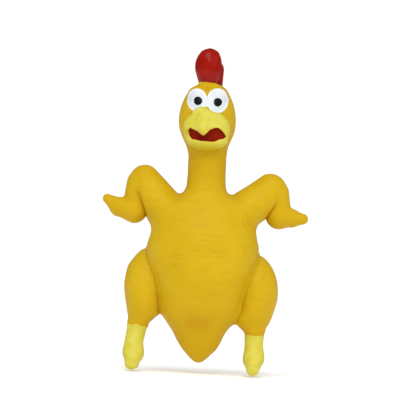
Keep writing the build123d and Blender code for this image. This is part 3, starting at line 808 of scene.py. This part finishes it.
def net(field, low, high, cell):
    """Points and quads of the zero surface of a field inside a box."""
    axes = []
    for a, b in zip(low, high):
        count = int(np.ceil((b - a) / cell / BLOCK) + 1) * BLOCK
        axes.append(a + cell * (np.arange(count) - 1))
    values = sample(field, axes, cell)
    inside = values < 0
    corners = list(np.ndindex(2, 2, 2))
    shape = np.array(values.shape) - 1
    full = np.zeros(shape, np.int8)
    for corner in corners:
        full += inside[tuple(slice(c, c + n) for c, n in zip(corner, shape))]
    cells = np.argwhere((full > 0) & (full < 8))
    total = np.zeros((len(cells), 3))
    count = np.zeros(len(cells))
    for a in corners:
        for axis in range(3):
            if a[axis]:
                continue
            b = np.array(a)
            b[axis] = 1
            va = values[tuple((cells + a).T)]
            vb = values[tuple((cells + b).T)]
            cross = (va < 0) != (vb < 0)
            t = np.where(cross, va / np.where(cross, va - vb, 1), 0)
            place = np.tile(np.array(a, float), (len(cells), 1))
            place[:, axis] = t
            total += place * cross[:, None]
            count += cross
    origin = np.array([a[0] for a in axes])
    points = origin + cell * (cells + total / count[:, None])
    index = np.full(shape, -1)
    index[tuple(cells.T)] = np.arange(len(cells))
    quads = []
    for axis in range(3):
        u, v = (axis + 1) % 3, (axis + 2) % 3
        lower = np.take(inside, range(shape[axis]), axis)
        upper = np.take(inside, range(1, shape[axis] + 1), axis)
        edges = np.argwhere(lower != upper)
        edges = edges[(edges[:, u] > 0) & (edges[:, v] > 0)]
        edges = edges[(edges[:, u] < shape[u]) & (edges[:, v] < shape[v])]
        ring = []
        for du, dv in ((0, 0), (-1, 0), (-1, -1), (0, -1)):
            at = edges.copy()
            at[:, u] += du
            at[:, v] += dv
            ring.append(index[tuple(at.T)])
        faces = np.column_stack(ring)
        out = lower[tuple(edges.T)]
        faces[~out] = faces[~out][:, ::-1]
        quads.append(faces)
    return points, np.concatenate(quads)


def snap(field, edge, points, chosen):
    """Slide the chosen points along the surface of a field, onto the zero line of another."""
    p = points[chosen]
    for _ in range(5):
        normal = unit(slope(field, p))
        g = slope(edge, p)
        g = g - (g * normal).sum(1)[:, None] * normal
        p = settle(field, nearer(edge, p, g, 0.2), 1)
    points[chosen] = p


def skin_mesh(field, rough_field, low, high, cell):
    """The finished points and quads of a field; rough_field is quicker and nearly the same."""
    points, quads = net(rough_field, low, high, cell)
    return settle(field, points), quads


def put_in_scene(name, data):
    obj = bpy.data.objects.new(name, data)
    bpy.context.scene.collection.objects.link(obj)
    return obj


def smooth_mesh(name, points, faces, material, tints):
    """A smooth mesh from points in mm; each tint is a name and its worth at each point."""
    mesh = bpy.data.meshes.new(name)
    mesh.from_pydata((points * MM).tolist(), [], faces)
    mesh.polygons.foreach_set("use_smooth", np.ones(len(faces), bool))
    mesh.update()
    for tint, worth in tints.items():
        layer = mesh.attributes.new(tint, "FLOAT", "POINT")
        layer.data.foreach_set("value", worth.astype(np.float32))
    mesh.materials.append(material)
    return mesh


def piece(name, points, faces, field, material, tints):
    """An object from some faces of a larger mesh, with normals taken from its field."""
    used = sorted({i for face in faces for i in face})
    index = {old: new for new, old in enumerate(used)}
    points = points[used]
    faces = [[index[i] for i in face] for face in faces]
    worths = {tint: worth(points) for tint, worth in tints.items()}
    mesh = smooth_mesh(name, points, faces, material, worths)
    mesh.normals_split_custom_set_from_vertices(unit(slope(field, points)).tolist())
    return put_in_scene(name, mesh)


# ---- materials
class Look:
    """A Principled material with the few helpers that the surfaces below need."""

    def __init__(self, name, **sockets):
        self.material = bpy.data.materials.new(name)
        self.material.use_nodes = True
        self.tree = self.material.node_tree
        self.shader = self.tree.nodes["Principled BSDF"]
        for socket, value in sockets.items():
            self.shader.inputs[socket.replace("_", " ")].default_value = value
        self.place = self.add("ShaderNodeTexCoord").outputs["Object"]

    def add(self, kind, **settings):
        node = self.tree.nodes.new(kind)
        for key, value in settings.items():
            setattr(node, key, value)
        return node

    def link(self, a, b):
        self.tree.links.new(a, b)

    def noise(self, scale, detail, stretch=(1, 1, 1)):
        mapping = self.add("ShaderNodeMapping")
        mapping.inputs["Scale"].default_value = stretch
        self.link(self.place, mapping.inputs["Vector"])
        node = self.add("ShaderNodeTexNoise")
        node.inputs["Scale"].default_value = scale
        node.inputs["Detail"].default_value = detail
        node.inputs["Roughness"].default_value = 0.55
        self.link(mapping.outputs["Vector"], node.inputs["Vector"])
        return node.outputs["Fac"]

    def span(self, value, low, high, to_low=0.0, to_high=1.0):
        """A value from low to high, mapped to another span."""
        node = self.add("ShaderNodeMapRange")
        spans = {"From Min": low, "From Max": high, "To Min": to_low, "To Max": to_high}
        for socket, number in spans.items():
            node.inputs[socket].default_value = number
        self.link(value, node.inputs["Value"])
        return node.outputs["Result"]

    def tint(self, name):
        """The worth that a mesh holds under this name, 0 where it holds none."""
        return self.add("ShaderNodeAttribute", attribute_name=name).outputs["Fac"]

    def mix(self, amount, a, b):
        node = self.add("ShaderNodeMix", data_type="RGBA")
        self.link(amount, node.inputs["Factor"])
        for socket, colour in (("A", a), ("B", b)):
            target = next(i for i in node.inputs if i.name == socket and i.type == "RGBA")
            if isinstance(colour, tuple):
                target.default_value = (*colour, 1)
            else:
                self.link(colour, target)
        return next(o for o in node.outputs if o.type == "RGBA")

    def colour(self, output):
        self.link(output, self.shader.inputs["Base Color"])

    def rough(self, scale, low, high):
        """Roughness that wanders between low and high."""
        value = self.span(self.noise(scale, 3), 0.3, 0.7, low, high)
        self.link(value, self.shader.inputs["Roughness"])

    def bump(self, *layers):
        """Height layers, each (output, millimetres)."""
        normal = None
        for output, height in layers:
            node = self.add("ShaderNodeBump")
            node.inputs["Strength"].default_value = 1.0
            node.inputs["Distance"].default_value = height * MM
            self.link(output, node.inputs["Height"])
            if normal is not None:
                self.link(normal, node.inputs["Normal"])
            normal = node.outputs["Normal"]
        self.link(normal, self.shader.inputs["Normal"])


LATEX_LOW = (0.555, 0.350, 0.002)
LATEX_HIGH = (0.600, 0.388, 0.006)
LATEX_STREAK = (0.52, 0.318, 0.002)
# Painted shade: a deeper orange on the neck under the head, low on the body, on the forearms and low on the legs.
LATEX_SHADE = (0.555, 0.333, 0.001)
# Painted shade, darker still, in creases and where parts meet.
LATEX_CREASE_SHADE = (0.47, 0.215, 0.002)


def latex_look():
    look = Look("latex", IOR=1.45, Specular_IOR_Level=0.15)
    colour = look.mix(look.span(look.noise(38, 4), 0.32, 0.70), LATEX_LOW, LATEX_HIGH)
    streak = look.span(look.noise(260, 3, stretch=(0.4, 0.4, 1.4)), 0.50, 0.95)
    colour = look.mix(streak, colour, LATEX_STREAK)
    # painted shade from the tints: deeper orange low down and under the head, darker in creases and where parts meet
    colour = look.mix(look.tint("painted_shade"), colour, LATEX_SHADE)
    look.colour(look.mix(look.tint("crease"), colour, LATEX_CREASE_SHADE))
    look.rough(120, 0.44, 0.60)
    look.bump(
        (look.noise(420, 4, stretch=(0.35, 0.35, 1.6)), 0.26),
        (look.noise(1500, 2), 0.07),
    )
    return look.material


PALE_THIN = (0.590, 0.512, 0.036)
PALE_THICK = (0.640, 0.575, 0.080)
# Painted shade in creases, low on the feet and under the lip.
PALE_CREASE_SHADE = (0.49, 0.40, 0.002)


def pale_look():
    """Brushed pale paint: thin where it shows the latex, thick elsewhere."""
    look = Look("pale_paint", IOR=1.47, Specular_IOR_Level=0.25)
    colour = look.mix(look.span(look.noise(160, 4), 0.30, 0.66), PALE_THIN, PALE_THICK)
    # painted shade from the crease tint
    look.colour(look.mix(look.tint("crease"), colour, PALE_CREASE_SHADE))
    look.rough(180, 0.36, 0.50)
    look.bump((look.noise(420, 2, stretch=(1.4, 1.4, 0.5)), 0.035), (look.noise(1800, 2), 0.02))
    return look.material


COMB_LOW = (0.265, 0.004, 0.001)
COMB_HIGH = (0.33, 0.007, 0.001)
# Painted shade where the comb meets the head.
COMB_CREASE_SHADE = (0.17, 0.004, 0.002)


def comb_look():
    look = Look("comb_paint", IOR=1.5, Specular_IOR_Level=0.08, Coat_Weight=0.13, Coat_Roughness=0.13)
    colour = look.mix(look.span(look.noise(90, 3), 0.35, 0.7), COMB_LOW, COMB_HIGH)
    # painted shade where the comb meets the head
    look.colour(look.mix(look.tint("crease"), colour, COMB_CREASE_SHADE))
    look.rough(200, 0.24, 0.38)
    look.bump((look.noise(260, 3), 0.16), (look.noise(1300, 2), 0.04))
    return look.material


def plain_look(name, low, high, gloss, shine=0.3):
    """Moulded plastic or matt paint with a faint grain."""
    look = Look(name, IOR=1.48, Specular_IOR_Level=shine)
    look.colour(look.mix(look.span(look.noise(225, 3), 0.35, 0.7), low, high))
    look.rough(360, gloss, gloss + 0.12)
    look.bump((look.noise(900, 2), 0.05))
    return look.material


WHITE_LOW = (0.60, 0.65, 0.68)
WHITE_HIGH = (0.70, 0.75, 0.77)
WHITE_RIM = (0.80, 0.83, 0.85)


def eye_look():
    """White paint, lighter round the rim."""
    look = Look("white_paint", IOR=1.48, Specular_IOR_Level=0.3)
    inner = look.mix(look.span(look.noise(240, 4), 0.32, 0.7), WHITE_LOW, WHITE_HIGH)
    look.colour(look.mix(look.tint("rim"), inner, WHITE_RIM))
    look.rough(360, 0.34, 0.46)
    look.bump((look.noise(700, 3), 0.06))
    return look.material


LATEX = latex_look()
PALE = pale_look()
RED = comb_look()
MOUTH = plain_look("mouth_paint", (0.31, 0.011, 0.001), (0.41, 0.020, 0.001), 0.5, shine=0.08)
WHITE = eye_look()
BLACK = plain_look("black_paint", (0.004, 0.004, 0.005), (0.012, 0.012, 0.013), 0.32, shine=0.12)
CUP = plain_look("squeaker_plastic", (0.68, 0.66, 0.58), (0.76, 0.74, 0.66), 0.34)
REED = plain_look("reed_plastic", (0.52, 0.54, 0.56), (0.62, 0.64, 0.66), 0.28)


# ---- skin of torso, neck and head
legs = {side: leg(side) for side in SIDES}
fore_wings = {side: fore_wing(side) for side in SIDES}


def meeting(gap, reach):
    """1 where a neighbour touches, fading out over reach."""
    return np.exp(-((np.maximum(gap, 0) / reach) ** 2))


def hip_valley_shade(p, side):
    """Painted shade at the bottom of the valley between torso and thigh."""
    torso = loft(p, BODY, BODY_SQUARE)
    thigh = loft(p, THIGH[side])
    line = meeting(np.abs(torso - thigh) - 0.5, 1.2) * meeting(np.maximum(torso, thigh) - 2.2, 1.0)
    return line * (HIP_SHADE[side] + 0.3 * (1 - smooth_step(50, 74, p[:, 2])))


def armpit_shade(p, side, other, reach):
    """Painted shade where a forearm rests on the torso, away from its own elbow."""
    elbow = PIVOT[f"wing_elbow_{side}"]
    away = smooth_step(*ELBOW_CLEAR, np.linalg.norm(p - elbow, axis=1) - WING[side]["elbow_r"])
    return ARMPIT_SHADE * away * meeting(np.abs(other(p)) - 0.3, reach)


# Painted shade in the valleys at hips and armpits, in the pressed creases, in the vent's hollow and in the notch
# between comb and eyes.
def body_crease_shade(p):
    worth = np.zeros(len(p))
    for side in SIDES:
        worth = np.maximum(worth, hip_valley_shade(p, side))
        worth = np.maximum(worth, armpit_shade(p, side, fore_wings[side], 0.9))
    for crease in CREASES:
        worth = np.maximum(worth, 0.18 * pressed(p, crease) / crease.depth)
    worth = np.maximum(worth, VENT_SHADE * in_vent(p, 0.55) * (p[:, 1] < 0))
    notch = np.hypot((p[:, 0] + 3.4) / 1.2, (p[:, 2] - 227.6) / 3.2)
    return np.maximum(worth, 0.6 * meeting(notch - 0.5, 0.6) * (p[:, 1] < -8))


def body_painted_shade(p):
    """The worth of the painted shade on the neck under the head, and low on the body, darkest towards the tail."""
    z = p[:, 2]
    neck = smooth_step(150, 160, z) * (1 - smooth_step(184, 196, z))
    tail = 1 - smooth_step(18, 72, z)
    return np.clip(0.5 * neck + 0.8 * tail, 0, 1)


BODY_TINTS = {"crease": body_crease_shade, "painted_shade": body_painted_shade}
NECK_ROOT = ((0, 0, 142.5), (0, 0, 158.5))
NECK_MID = ((0, 0, 161.5), (0, 0, 173.3))
NECK_TOP = ((0, 1, 177), (0, -1, 189))
WING_LEAN = 0.584  # sideways part of the direction along which a wing root turns
WING_ROOT = (3.4, 17.0)  # mm from the shoulder along it
MARGIN = 0.06  # of a blend's length, kept on the blended piece beyond both its ends
NECK_HALF = 21  # past this x the skin isn't neck
WING_FROM = 20  # past this x the skin may be wing
WING_TOP = 172  # above this it is neck or head


def along(p, ends):
    """0 at the start of a blend, 1 at its end."""
    start, end = (np.array(e, float) for e in ends)
    d = end - start
    return (p - start) @ d / (d @ d)


def metres(ends):
    return {"start": tuple(np.array(ends[0]) * MM), "end": tuple(np.array(ends[1]) * MM)}


def wing_root_ends(side):
    lean = np.array([SIDES[side] * WING_LEAN, 0, (1 - WING_LEAN**2) ** 0.5])
    shoulder = PIVOT[f"wing_flap_{side}"]
    return shoulder + lean * WING_ROOT[0], shoulder + lean * WING_ROOT[1]


body_low = (-64.0, -38.5, 7.0)
body_high = (66.0, 38.5, 236.0)
points, quads = skin_mesh(body, plain_body, body_low, body_high, BODY_CELL)
centre = points[quads].mean(1)
root_t = along(centre, NECK_ROOT)
mid_t = along(centre, NECK_MID)
top_t = along(centre, NECK_TOP)
in_neck = (np.abs(centre[:, 0]) < NECK_HALF) | (centre[:, 2] > WING_TOP)
zone = np.full(len(quads), "torso_shell", dtype="U24")
zone[in_neck & (root_t > -MARGIN)] = "neck_root_shell"
zone[in_neck & (root_t > 1 + MARGIN)] = "neck_lower_shell"
zone[in_neck & (mid_t > -MARGIN)] = "neck_mid_shell"
zone[in_neck & (mid_t > 1 + MARGIN)] = "neck_upper_shell"
zone[in_neck & (mid_t > 1) & (top_t > -MARGIN)] = "neck_top_shell"
zone[in_neck & (mid_t > 1) & (top_t > 1 + MARGIN)] = "head_shell"
for side, sign in SIDES.items():
    t = along(centre, wing_root_ends(side))
    on_side = (centre[:, 0] * sign > WING_FROM) & (centre[:, 2] < WING_TOP)
    zone[on_side & (t > -MARGIN)] = f"wing_root_shell_{side}"
    zone[on_side & (t > 1 + MARGIN)] = f"upper_wing_shell_{side}"

skins = {
    name: piece(name, points, quads[zone == name].tolist(), body, LATEX, BODY_TINTS)
    for name in sorted(set(zone))
}

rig.blend(skins["torso_shell"], "torso", "belly", start=(0, -0.020, 0), end=(0, -0.036, 0))
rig.replaces(skins["torso_shell"], "torso_skin", "belly_skin", "torso_filling")
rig.replaces(skins["torso_shell"], "hip_fold_left", "hip_fold_right")
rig.blend(skins["neck_root_shell"], "torso", "neck_lower", **metres(NECK_ROOT))
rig.replaces(skins["neck_root_shell"], "neck_root_fold")
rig.ride(skins["neck_lower_shell"], "neck_lower")
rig.replaces(skins["neck_lower_shell"], "neck_lower_skin", "neck_lower_filling")
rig.blend(skins["neck_mid_shell"], "neck_lower", "neck_upper", **metres(NECK_MID))
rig.replaces(skins["neck_mid_shell"], "neck_mid_fold")
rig.ride(skins["neck_upper_shell"], "neck_upper")
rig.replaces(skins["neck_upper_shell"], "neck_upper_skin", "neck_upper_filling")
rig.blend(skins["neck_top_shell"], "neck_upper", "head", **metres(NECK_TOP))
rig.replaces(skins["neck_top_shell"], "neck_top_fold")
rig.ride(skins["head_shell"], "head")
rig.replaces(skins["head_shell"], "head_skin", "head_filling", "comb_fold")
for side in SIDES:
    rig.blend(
        skins[f"wing_root_shell_{side}"], "torso", f"upper_wing_{side}", **metres(wing_root_ends(side))
    )
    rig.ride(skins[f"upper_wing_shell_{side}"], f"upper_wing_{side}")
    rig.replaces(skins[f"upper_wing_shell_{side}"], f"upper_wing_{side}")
for obj in skins.values():
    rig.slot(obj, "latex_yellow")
for name in ("torso_shell", "neck_lower_shell", "neck_upper_shell", "head_shell"):
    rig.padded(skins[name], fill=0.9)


# ---- forearms and wing tips
def fore_tints(side):
    # painted shade where the forearm rests on the torso
    def crease(p):
        return armpit_shade(p, side, plain_body, 1.1)

    # painted shade on the forearm, darker further below the elbow
    def painted_shade(p):
        return 0.55 * smooth_step(2, 14, PIVOT[f"wing_elbow_{side}"][2] - p[:, 2])

    return {"crease": crease, "painted_shade": painted_shade}


def fore_wing_box(side):
    fore_low, fore_high = box_mm(f"fore_wing_{side}")
    tip_low, tip_high = box_mm(f"wing_tip_{side}")
    return np.minimum(fore_low, tip_low) - 4, np.maximum(fore_high, tip_high) + 4


for side in SIDES:
    low, high = fore_wing_box(side)
    field = fore_wings[side]
    points, quads = skin_mesh(field, field, low, high, WING_CELL)
    tints = fore_tints(side)
    obj = piece(f"fore_wing_shell_{side}", points, quads.tolist(), field, LATEX, tints)
    wrist = PIVOT[f"wing_wrist_{side}"]
    fold = outward(side, (WRIST_LEAN[0], 0, WRIST_LEAN[1])) * WRIST_REACH
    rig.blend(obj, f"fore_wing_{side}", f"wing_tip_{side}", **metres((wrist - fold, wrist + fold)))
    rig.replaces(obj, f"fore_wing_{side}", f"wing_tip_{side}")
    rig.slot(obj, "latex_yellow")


# ---- legs and painted feet
LEG_BEND = (43.0, 31.0)  # heights between which a leg turns at its ankle


def paint_edge(side, x, y):
    """How far the brushed edge of the paint is above its mean height."""
    if side == "left":
        return -0.16 * (x - SHANK_X[side]) + 0.7 * np.sin(x * 0.9 + y * 0.5) + 0.4 * np.sin(y * 1.3)
    return 0.2 * np.sin(x * 0.8) + 0.25 * np.sin(y * 1.1)


def split_at_paint(points, quads, side):
    """Quads cut along the edge of the paint, and which of the new faces are above it.

    The mesh is sheared so that the edge is level, cut, and sheared back.
    """
    cut = bmesh.new()
    edge = paint_edge(side, points[:, 0], points[:, 1])
    level = points - np.column_stack([edge * 0, edge * 0, edge])
    verts = [cut.verts.new(v) for v in level]
    for quad in quads:
        cut.faces.new([verts[i] for i in quad])
    plane = (0, 0, PAINT_LINE[side])
    bmesh.ops.bisect_plane(
        cut, geom=cut.verts[:] + cut.edges[:] + cut.faces[:], plane_co=plane, plane_no=(0, 0, 1)
    )
    cut.verts.index_update()
    flat = np.array([v.co[:] for v in cut.verts])
    loops = [[v.index for v in f.verts] for f in cut.faces]
    above = [f.calc_center_median().z > PAINT_LINE[side] for f in cut.faces]
    cut.free()
    flat[:, 2] += paint_edge(side, flat[:, 0], flat[:, 1])
    return flat, loops, above


def leg_painted_shade(p):
    """The worth of the painted shade low on a leg, darker towards the foot."""
    return 0.75 * (1 - smooth_step(34, 72, p[:, 2]))


def leg_shade_and_paint_edge(side):
    # Painted shade in the valley at the hip, and a darker line just above the edge of the paint.
    def worth(p):
        above_paint = p[:, 2] - PAINT_LINE[side] - paint_edge(side, p[:, 0], p[:, 1])
        return np.maximum(hip_valley_shade(p, side), 0.35 * np.exp(-((above_paint / 1.3) ** 2)))

    return worth


def foot_crease_shade(side):
    # Painted shade in the line across the toe, on the sides of the foot and near its bottom.
    def worth(p):
        flank = 0.28 * smooth_step(5.5, 8.0, np.abs(p[:, 0] - FOOT_X[side]))
        rim = 0.5 * (1 - smooth_step(0.5, 5.5, p[:, 2]))
        return np.clip(toe_line(p, side, 1.2) + flank + rim, 0, 0.8)

    return worth


for side in SIDES:
    x = SHANK_X[side]
    low = (min(x, FOOT_X[side]) - 19, -25, -0.6)
    high = (x + 22, 30, 102)
    field = legs[side]
    points, quads = skin_mesh(field, field, low, high, LEG_CELL)
    points, faces, above = split_at_paint(points, quads, side)
    latex = [face for face, up in zip(faces, above) if up]
    painted = [face for face, up in zip(faces, above) if not up]
    tints = {"crease": leg_shade_and_paint_edge(side), "painted_shade": leg_painted_shade}
    thigh = piece(f"leg_shell_{side}", points, latex, field, LATEX, tints)
    tints = {"crease": foot_crease_shade(side)}
    foot = piece(f"foot_shell_{side}", points, painted, field, PALE, tints)
    ends = ((x, 0, LEG_BEND[0]), (x, 0, LEG_BEND[1]))
    for obj in (thigh, foot):
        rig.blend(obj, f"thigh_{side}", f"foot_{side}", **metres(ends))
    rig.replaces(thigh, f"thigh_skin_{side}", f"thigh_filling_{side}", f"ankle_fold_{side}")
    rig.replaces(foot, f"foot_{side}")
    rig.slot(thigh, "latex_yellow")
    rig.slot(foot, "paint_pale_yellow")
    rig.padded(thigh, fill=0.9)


# ---- comb
COMB_LEAN = radians(17)  # how far back the comb leans


# Painted shade where the comb meets the head.
def comb_crease_shade(p):
    return 0.7 * meeting(plain_body(p), 1.6)


comb_low, comb_high = box_mm("comb")
points, quads = skin_mesh(comb, comb, comb_low - (4, 4, 12), comb_high + 3, COMB_CELL)
obj = piece("comb_shell", points, quads.tolist(), comb, RED, {"crease": comb_crease_shade})
lean = np.array([0, sin(COMB_LEAN), cos(COMB_LEAN)])
comb_foot = PIVOT["comb_flop"]
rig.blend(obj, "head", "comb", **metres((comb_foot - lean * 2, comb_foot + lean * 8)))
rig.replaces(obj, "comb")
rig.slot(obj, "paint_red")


# ---- beak and mouth
# Painted shade in a corner of the mouth, under the lower lip and where the beak meets the head.
def beak_crease_shade(p):
    middle = middle_mm("mouth_lining")
    pocket = np.hypot((p[:, 0] - middle[0] + 15.6) / 1.6, (p[:, 2] - middle[2] - 1.2) / 2.6)
    lip = 0.8 * (1 - smooth_step(180.5, 186.5, p[:, 2]))
    edge = np.maximum(0.6 * meeting(plain_body(p), 1.6), lip)
    return np.maximum(edge, 0.8 * meeting(pocket - 0.5, 0.6))


def mouth_paint(p):
    """Negative where the inside of the mouth is painted red."""
    return np.maximum(mouth_hole(p, 0.35, MOUTH_FLOOR + 0.6), solid_muzzle(p) + 0.5)


beak_low = (-24.0, -37.5, 177.0)
beak_high = (20.0, 2.0, 216.0)
points, quads = skin_mesh(muzzle, muzzle, beak_low, beak_high, BEAK_CELL)
centre = points[quads].mean(1)
red = mouth_paint(centre) < 0
border = np.intersect1d(quads[red], quads[~red])
snap(muzzle, mouth_paint, points, border)
behind = plain_body(centre) < -2.5
shown = quads[~red & ~behind].tolist()
beak = piece("beak_shell", points, shown, muzzle, PALE, {"crease": beak_crease_shade})
lining = piece("mouth_shell", points, quads[red].tolist(), muzzle, MOUTH, {})
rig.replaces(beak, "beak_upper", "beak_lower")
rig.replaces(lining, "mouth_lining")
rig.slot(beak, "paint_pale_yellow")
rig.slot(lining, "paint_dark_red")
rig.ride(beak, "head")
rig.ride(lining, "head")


# ---- eyes
def face_depth(x, z):
    """The y of the front of the head at each (x, z)."""
    near = np.full(len(x), -40.0)
    far = np.full(len(x), 0.0)
    for _ in range(24):
        y = (near + far) / 2
        out = plain_body(np.column_stack([x, y, z])) > 0
        near = np.where(out, y, near)
        far = np.where(out, far, y)
    return near


def patch(name, middle, half, raised, bulge, material, wobble=0.0, rings=14, spokes=64):
    """A raised disc of paint that follows the head, with an edge that goes down into it."""
    rho = np.append(np.linspace(0.001, 1, rings), (1.02, 1.02))
    lift = raised + bulge * (1 - rho**2)
    lift[-2:] = (raised * 0.4, -1.2)
    angle = np.linspace(0, 2 * pi, spokes, endpoint=False)
    edge = 1 + wobble * (np.sin(3 * angle + 1) + 0.6 * np.sin(5 * angle + 2) + 0.4 * np.sin(8 * angle))
    x = middle[0] + half[0] * np.outer(rho, np.cos(angle) * edge).ravel()
    z = middle[1] + half[1] * np.outer(rho, np.sin(angle) * edge).ravel()
    y = face_depth(x, z) - np.repeat(lift, spokes)
    rows = len(rho)
    grid = np.arange(rows * spokes).reshape(rows, spokes)
    a, b = grid[:-1], grid[1:]
    quads = np.stack([a, np.roll(a, -1, 1), np.roll(b, -1, 1), b], -1).reshape(-1, 4)
    rim = np.repeat(smooth_step(0.80, 0.94, rho), spokes)
    points = np.column_stack([x, y, z])
    obj = put_in_scene(name, smooth_mesh(name, points, quads.tolist(), material, {"rim": rim}))
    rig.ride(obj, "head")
    return obj


def middle_and_half(node):
    """The middle and the half size of a CAD node, both as (x, z)."""
    low, high = box_mm(node)
    return ((low + high) / 2)[[0, 2]], ((high - low) / 2)[[0, 2]]


for side in SIDES:
    middle, half = middle_and_half(f"eye_white_{side}")
    half = half + WHITE_GROWN[side]
    white = patch(f"eye_white_shell_{side}", middle, half, WHITE_RAISED, WHITE_BULGE, WHITE, 0.006)
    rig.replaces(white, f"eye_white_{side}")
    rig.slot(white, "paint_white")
    spot, radius = middle_and_half(f"pupil_{side}")
    spot = spot + PUPIL_SHIFT[side]
    apart = np.linalg.norm((spot - middle) / half)
    under = WHITE_RAISED + WHITE_BULGE * (1 - apart**2)
    pupil = patch(f"pupil_shell_{side}", spot, radius, under + PUPIL_RAISED, PUPIL_BULGE, BLACK, 0.02)
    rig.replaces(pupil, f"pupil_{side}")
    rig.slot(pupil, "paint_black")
between_eyes = (middle_mm("eye_white_left") + middle_mm("eye_white_right"))[[0, 2]] / 2
bridge = patch(
    "white_bridge", between_eyes - BRIDGE_LOWER, BRIDGE_HALF, 0.5, 0.35, WHITE, rings=8, spokes=32
)
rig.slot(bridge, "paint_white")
splash = patch("white_splash", SPLASH, SPLASH_HALF, 0.4, 0.2, WHITE, 0.1, rings=6, spokes=24)
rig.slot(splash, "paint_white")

# ---- squeaker, as the CAD made it
for node, material in (
    ("squeaker_cup", CUP),
    ("squeaker_lid", CUP),
    ("reed_block", CUP),
    ("squeaker_reed", REED),
):
    mesh = frame["nodes"][node].data
    mesh.materials.clear()
    mesh.materials.append(material)


# ---- floor, lights and camera
FLOOR_R = 1.6
FLOOR_SPOKES = 96
FLOOR_LOW = (0.95, 0.95, 0.95)
FLOOR_HIGH = (0.97, 0.97, 0.97)


def floor():
    turns = [2 * pi * i / FLOOR_SPOKES for i in range(FLOOR_SPOKES)]
    ring = [(FLOOR_R * cos(turn), FLOOR_R * sin(turn), 0) for turn in turns]
    mesh = bpy.data.meshes.new("floor")
    mesh.from_pydata(ring, [], [list(range(FLOOR_SPOKES))])
    look = Look("floor", Roughness=0.9, Specular_IOR_Level=0.1, Emission_Strength=0.14)
    look.shader.inputs["Emission Color"].default_value = (1, 1, 1, 1)
    look.colour(look.mix(look.span(look.noise(6, 2), 0.3, 0.7), FLOOR_LOW, FLOOR_HIGH))
    mesh.materials.append(look.material)
    obj = put_in_scene("floor", mesh)
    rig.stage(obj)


def background(tree, strength):
    node = tree.nodes.new("ShaderNodeBackground")
    node.inputs["Strength"].default_value = strength
    node.inputs["Color"].default_value = (1, 1, 1, 1)
    return node


def world():
    """White all round, dimmer as light than it is seen, and dimmer still in reflections."""
    sky = bpy.data.worlds.new("studio")
    sky.use_nodes = True
    tree = sky.node_tree
    tree.nodes.clear()
    seen = background(tree, 1.05)
    lit = background(tree, 0.72)
    mirrored = background(tree, 0.14)
    path = tree.nodes.new("ShaderNodeLightPath")
    dim = tree.nodes.new("ShaderNodeMixShader")
    mix = tree.nodes.new("ShaderNodeMixShader")
    out = tree.nodes.new("ShaderNodeOutputWorld")
    tree.links.new(path.outputs["Is Glossy Ray"], dim.inputs["Fac"])
    tree.links.new(lit.outputs["Background"], dim.inputs[1])
    tree.links.new(mirrored.outputs["Background"], dim.inputs[2])
    tree.links.new(path.outputs["Is Camera Ray"], mix.inputs["Fac"])
    tree.links.new(dim.outputs["Shader"], mix.inputs[1])
    tree.links.new(seen.outputs["Background"], mix.inputs[2])
    tree.links.new(mix.outputs["Shader"], out.inputs["Surface"])
    bpy.context.scene.world = sky


LAMP_AIM = (0, 0, 0.14)
LAMP_DISTANCE = 1.1


def lamp(name, kind, azimuth, elevation, **settings):
    """A lamp aimed at the toy from a direction; azimuth 0 is in front of it."""
    light = bpy.data.lights.new(name, kind)
    for key, value in settings.items():
        setattr(light, key, value)
    turn = Matrix.Rotation(radians(azimuth), 4, "Z") @ Matrix.Rotation(radians(90 - elevation), 4, "X")
    back = Matrix.Translation((0, 0, LAMP_DISTANCE))
    put_in_scene(name, light).matrix_world = Matrix.Translation(LAMP_AIM) @ turn @ back


CAMERA_AIM = (0.00225, 0, 0.1331)
CAMERA_DISTANCE = 3.0
CAMERA_ROLL = radians(3)
SEEN_HEIGHT = 0.3328  # metres that the picture holds at the toy


def camera():
    lens = bpy.data.cameras.new("camera")
    lens.sensor_width = 36.0
    lens.lens = lens.sensor_width * CAMERA_DISTANCE / SEEN_HEIGHT
    lens.clip_end = 20
    obj = put_in_scene("camera", lens)
    level = Matrix.Rotation(radians(90), 4, "X") @ Matrix.Rotation(CAMERA_ROLL, 4, "Z")
    back = Matrix.Translation((0, 0, CAMERA_DISTANCE))
    obj.matrix_world = Matrix.Translation(CAMERA_AIM) @ level @ back
    bpy.context.scene.camera = obj


floor()
world()
lamp("key", "SUN", -12, 58, energy=1.0, angle=radians(34))
lamp("fill", "SUN", 50, 25, energy=0.32, angle=radians(50))
lamp("glint", "AREA", 4, 36, energy=1.8, shape="DISK", size=0.07)
camera()
bpy.context.scene.view_settings.view_transform = "Standard"

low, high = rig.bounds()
boxes = {"cad": [list(whole_low), list(whole_high)], "visual": [list(low), list(high)]}
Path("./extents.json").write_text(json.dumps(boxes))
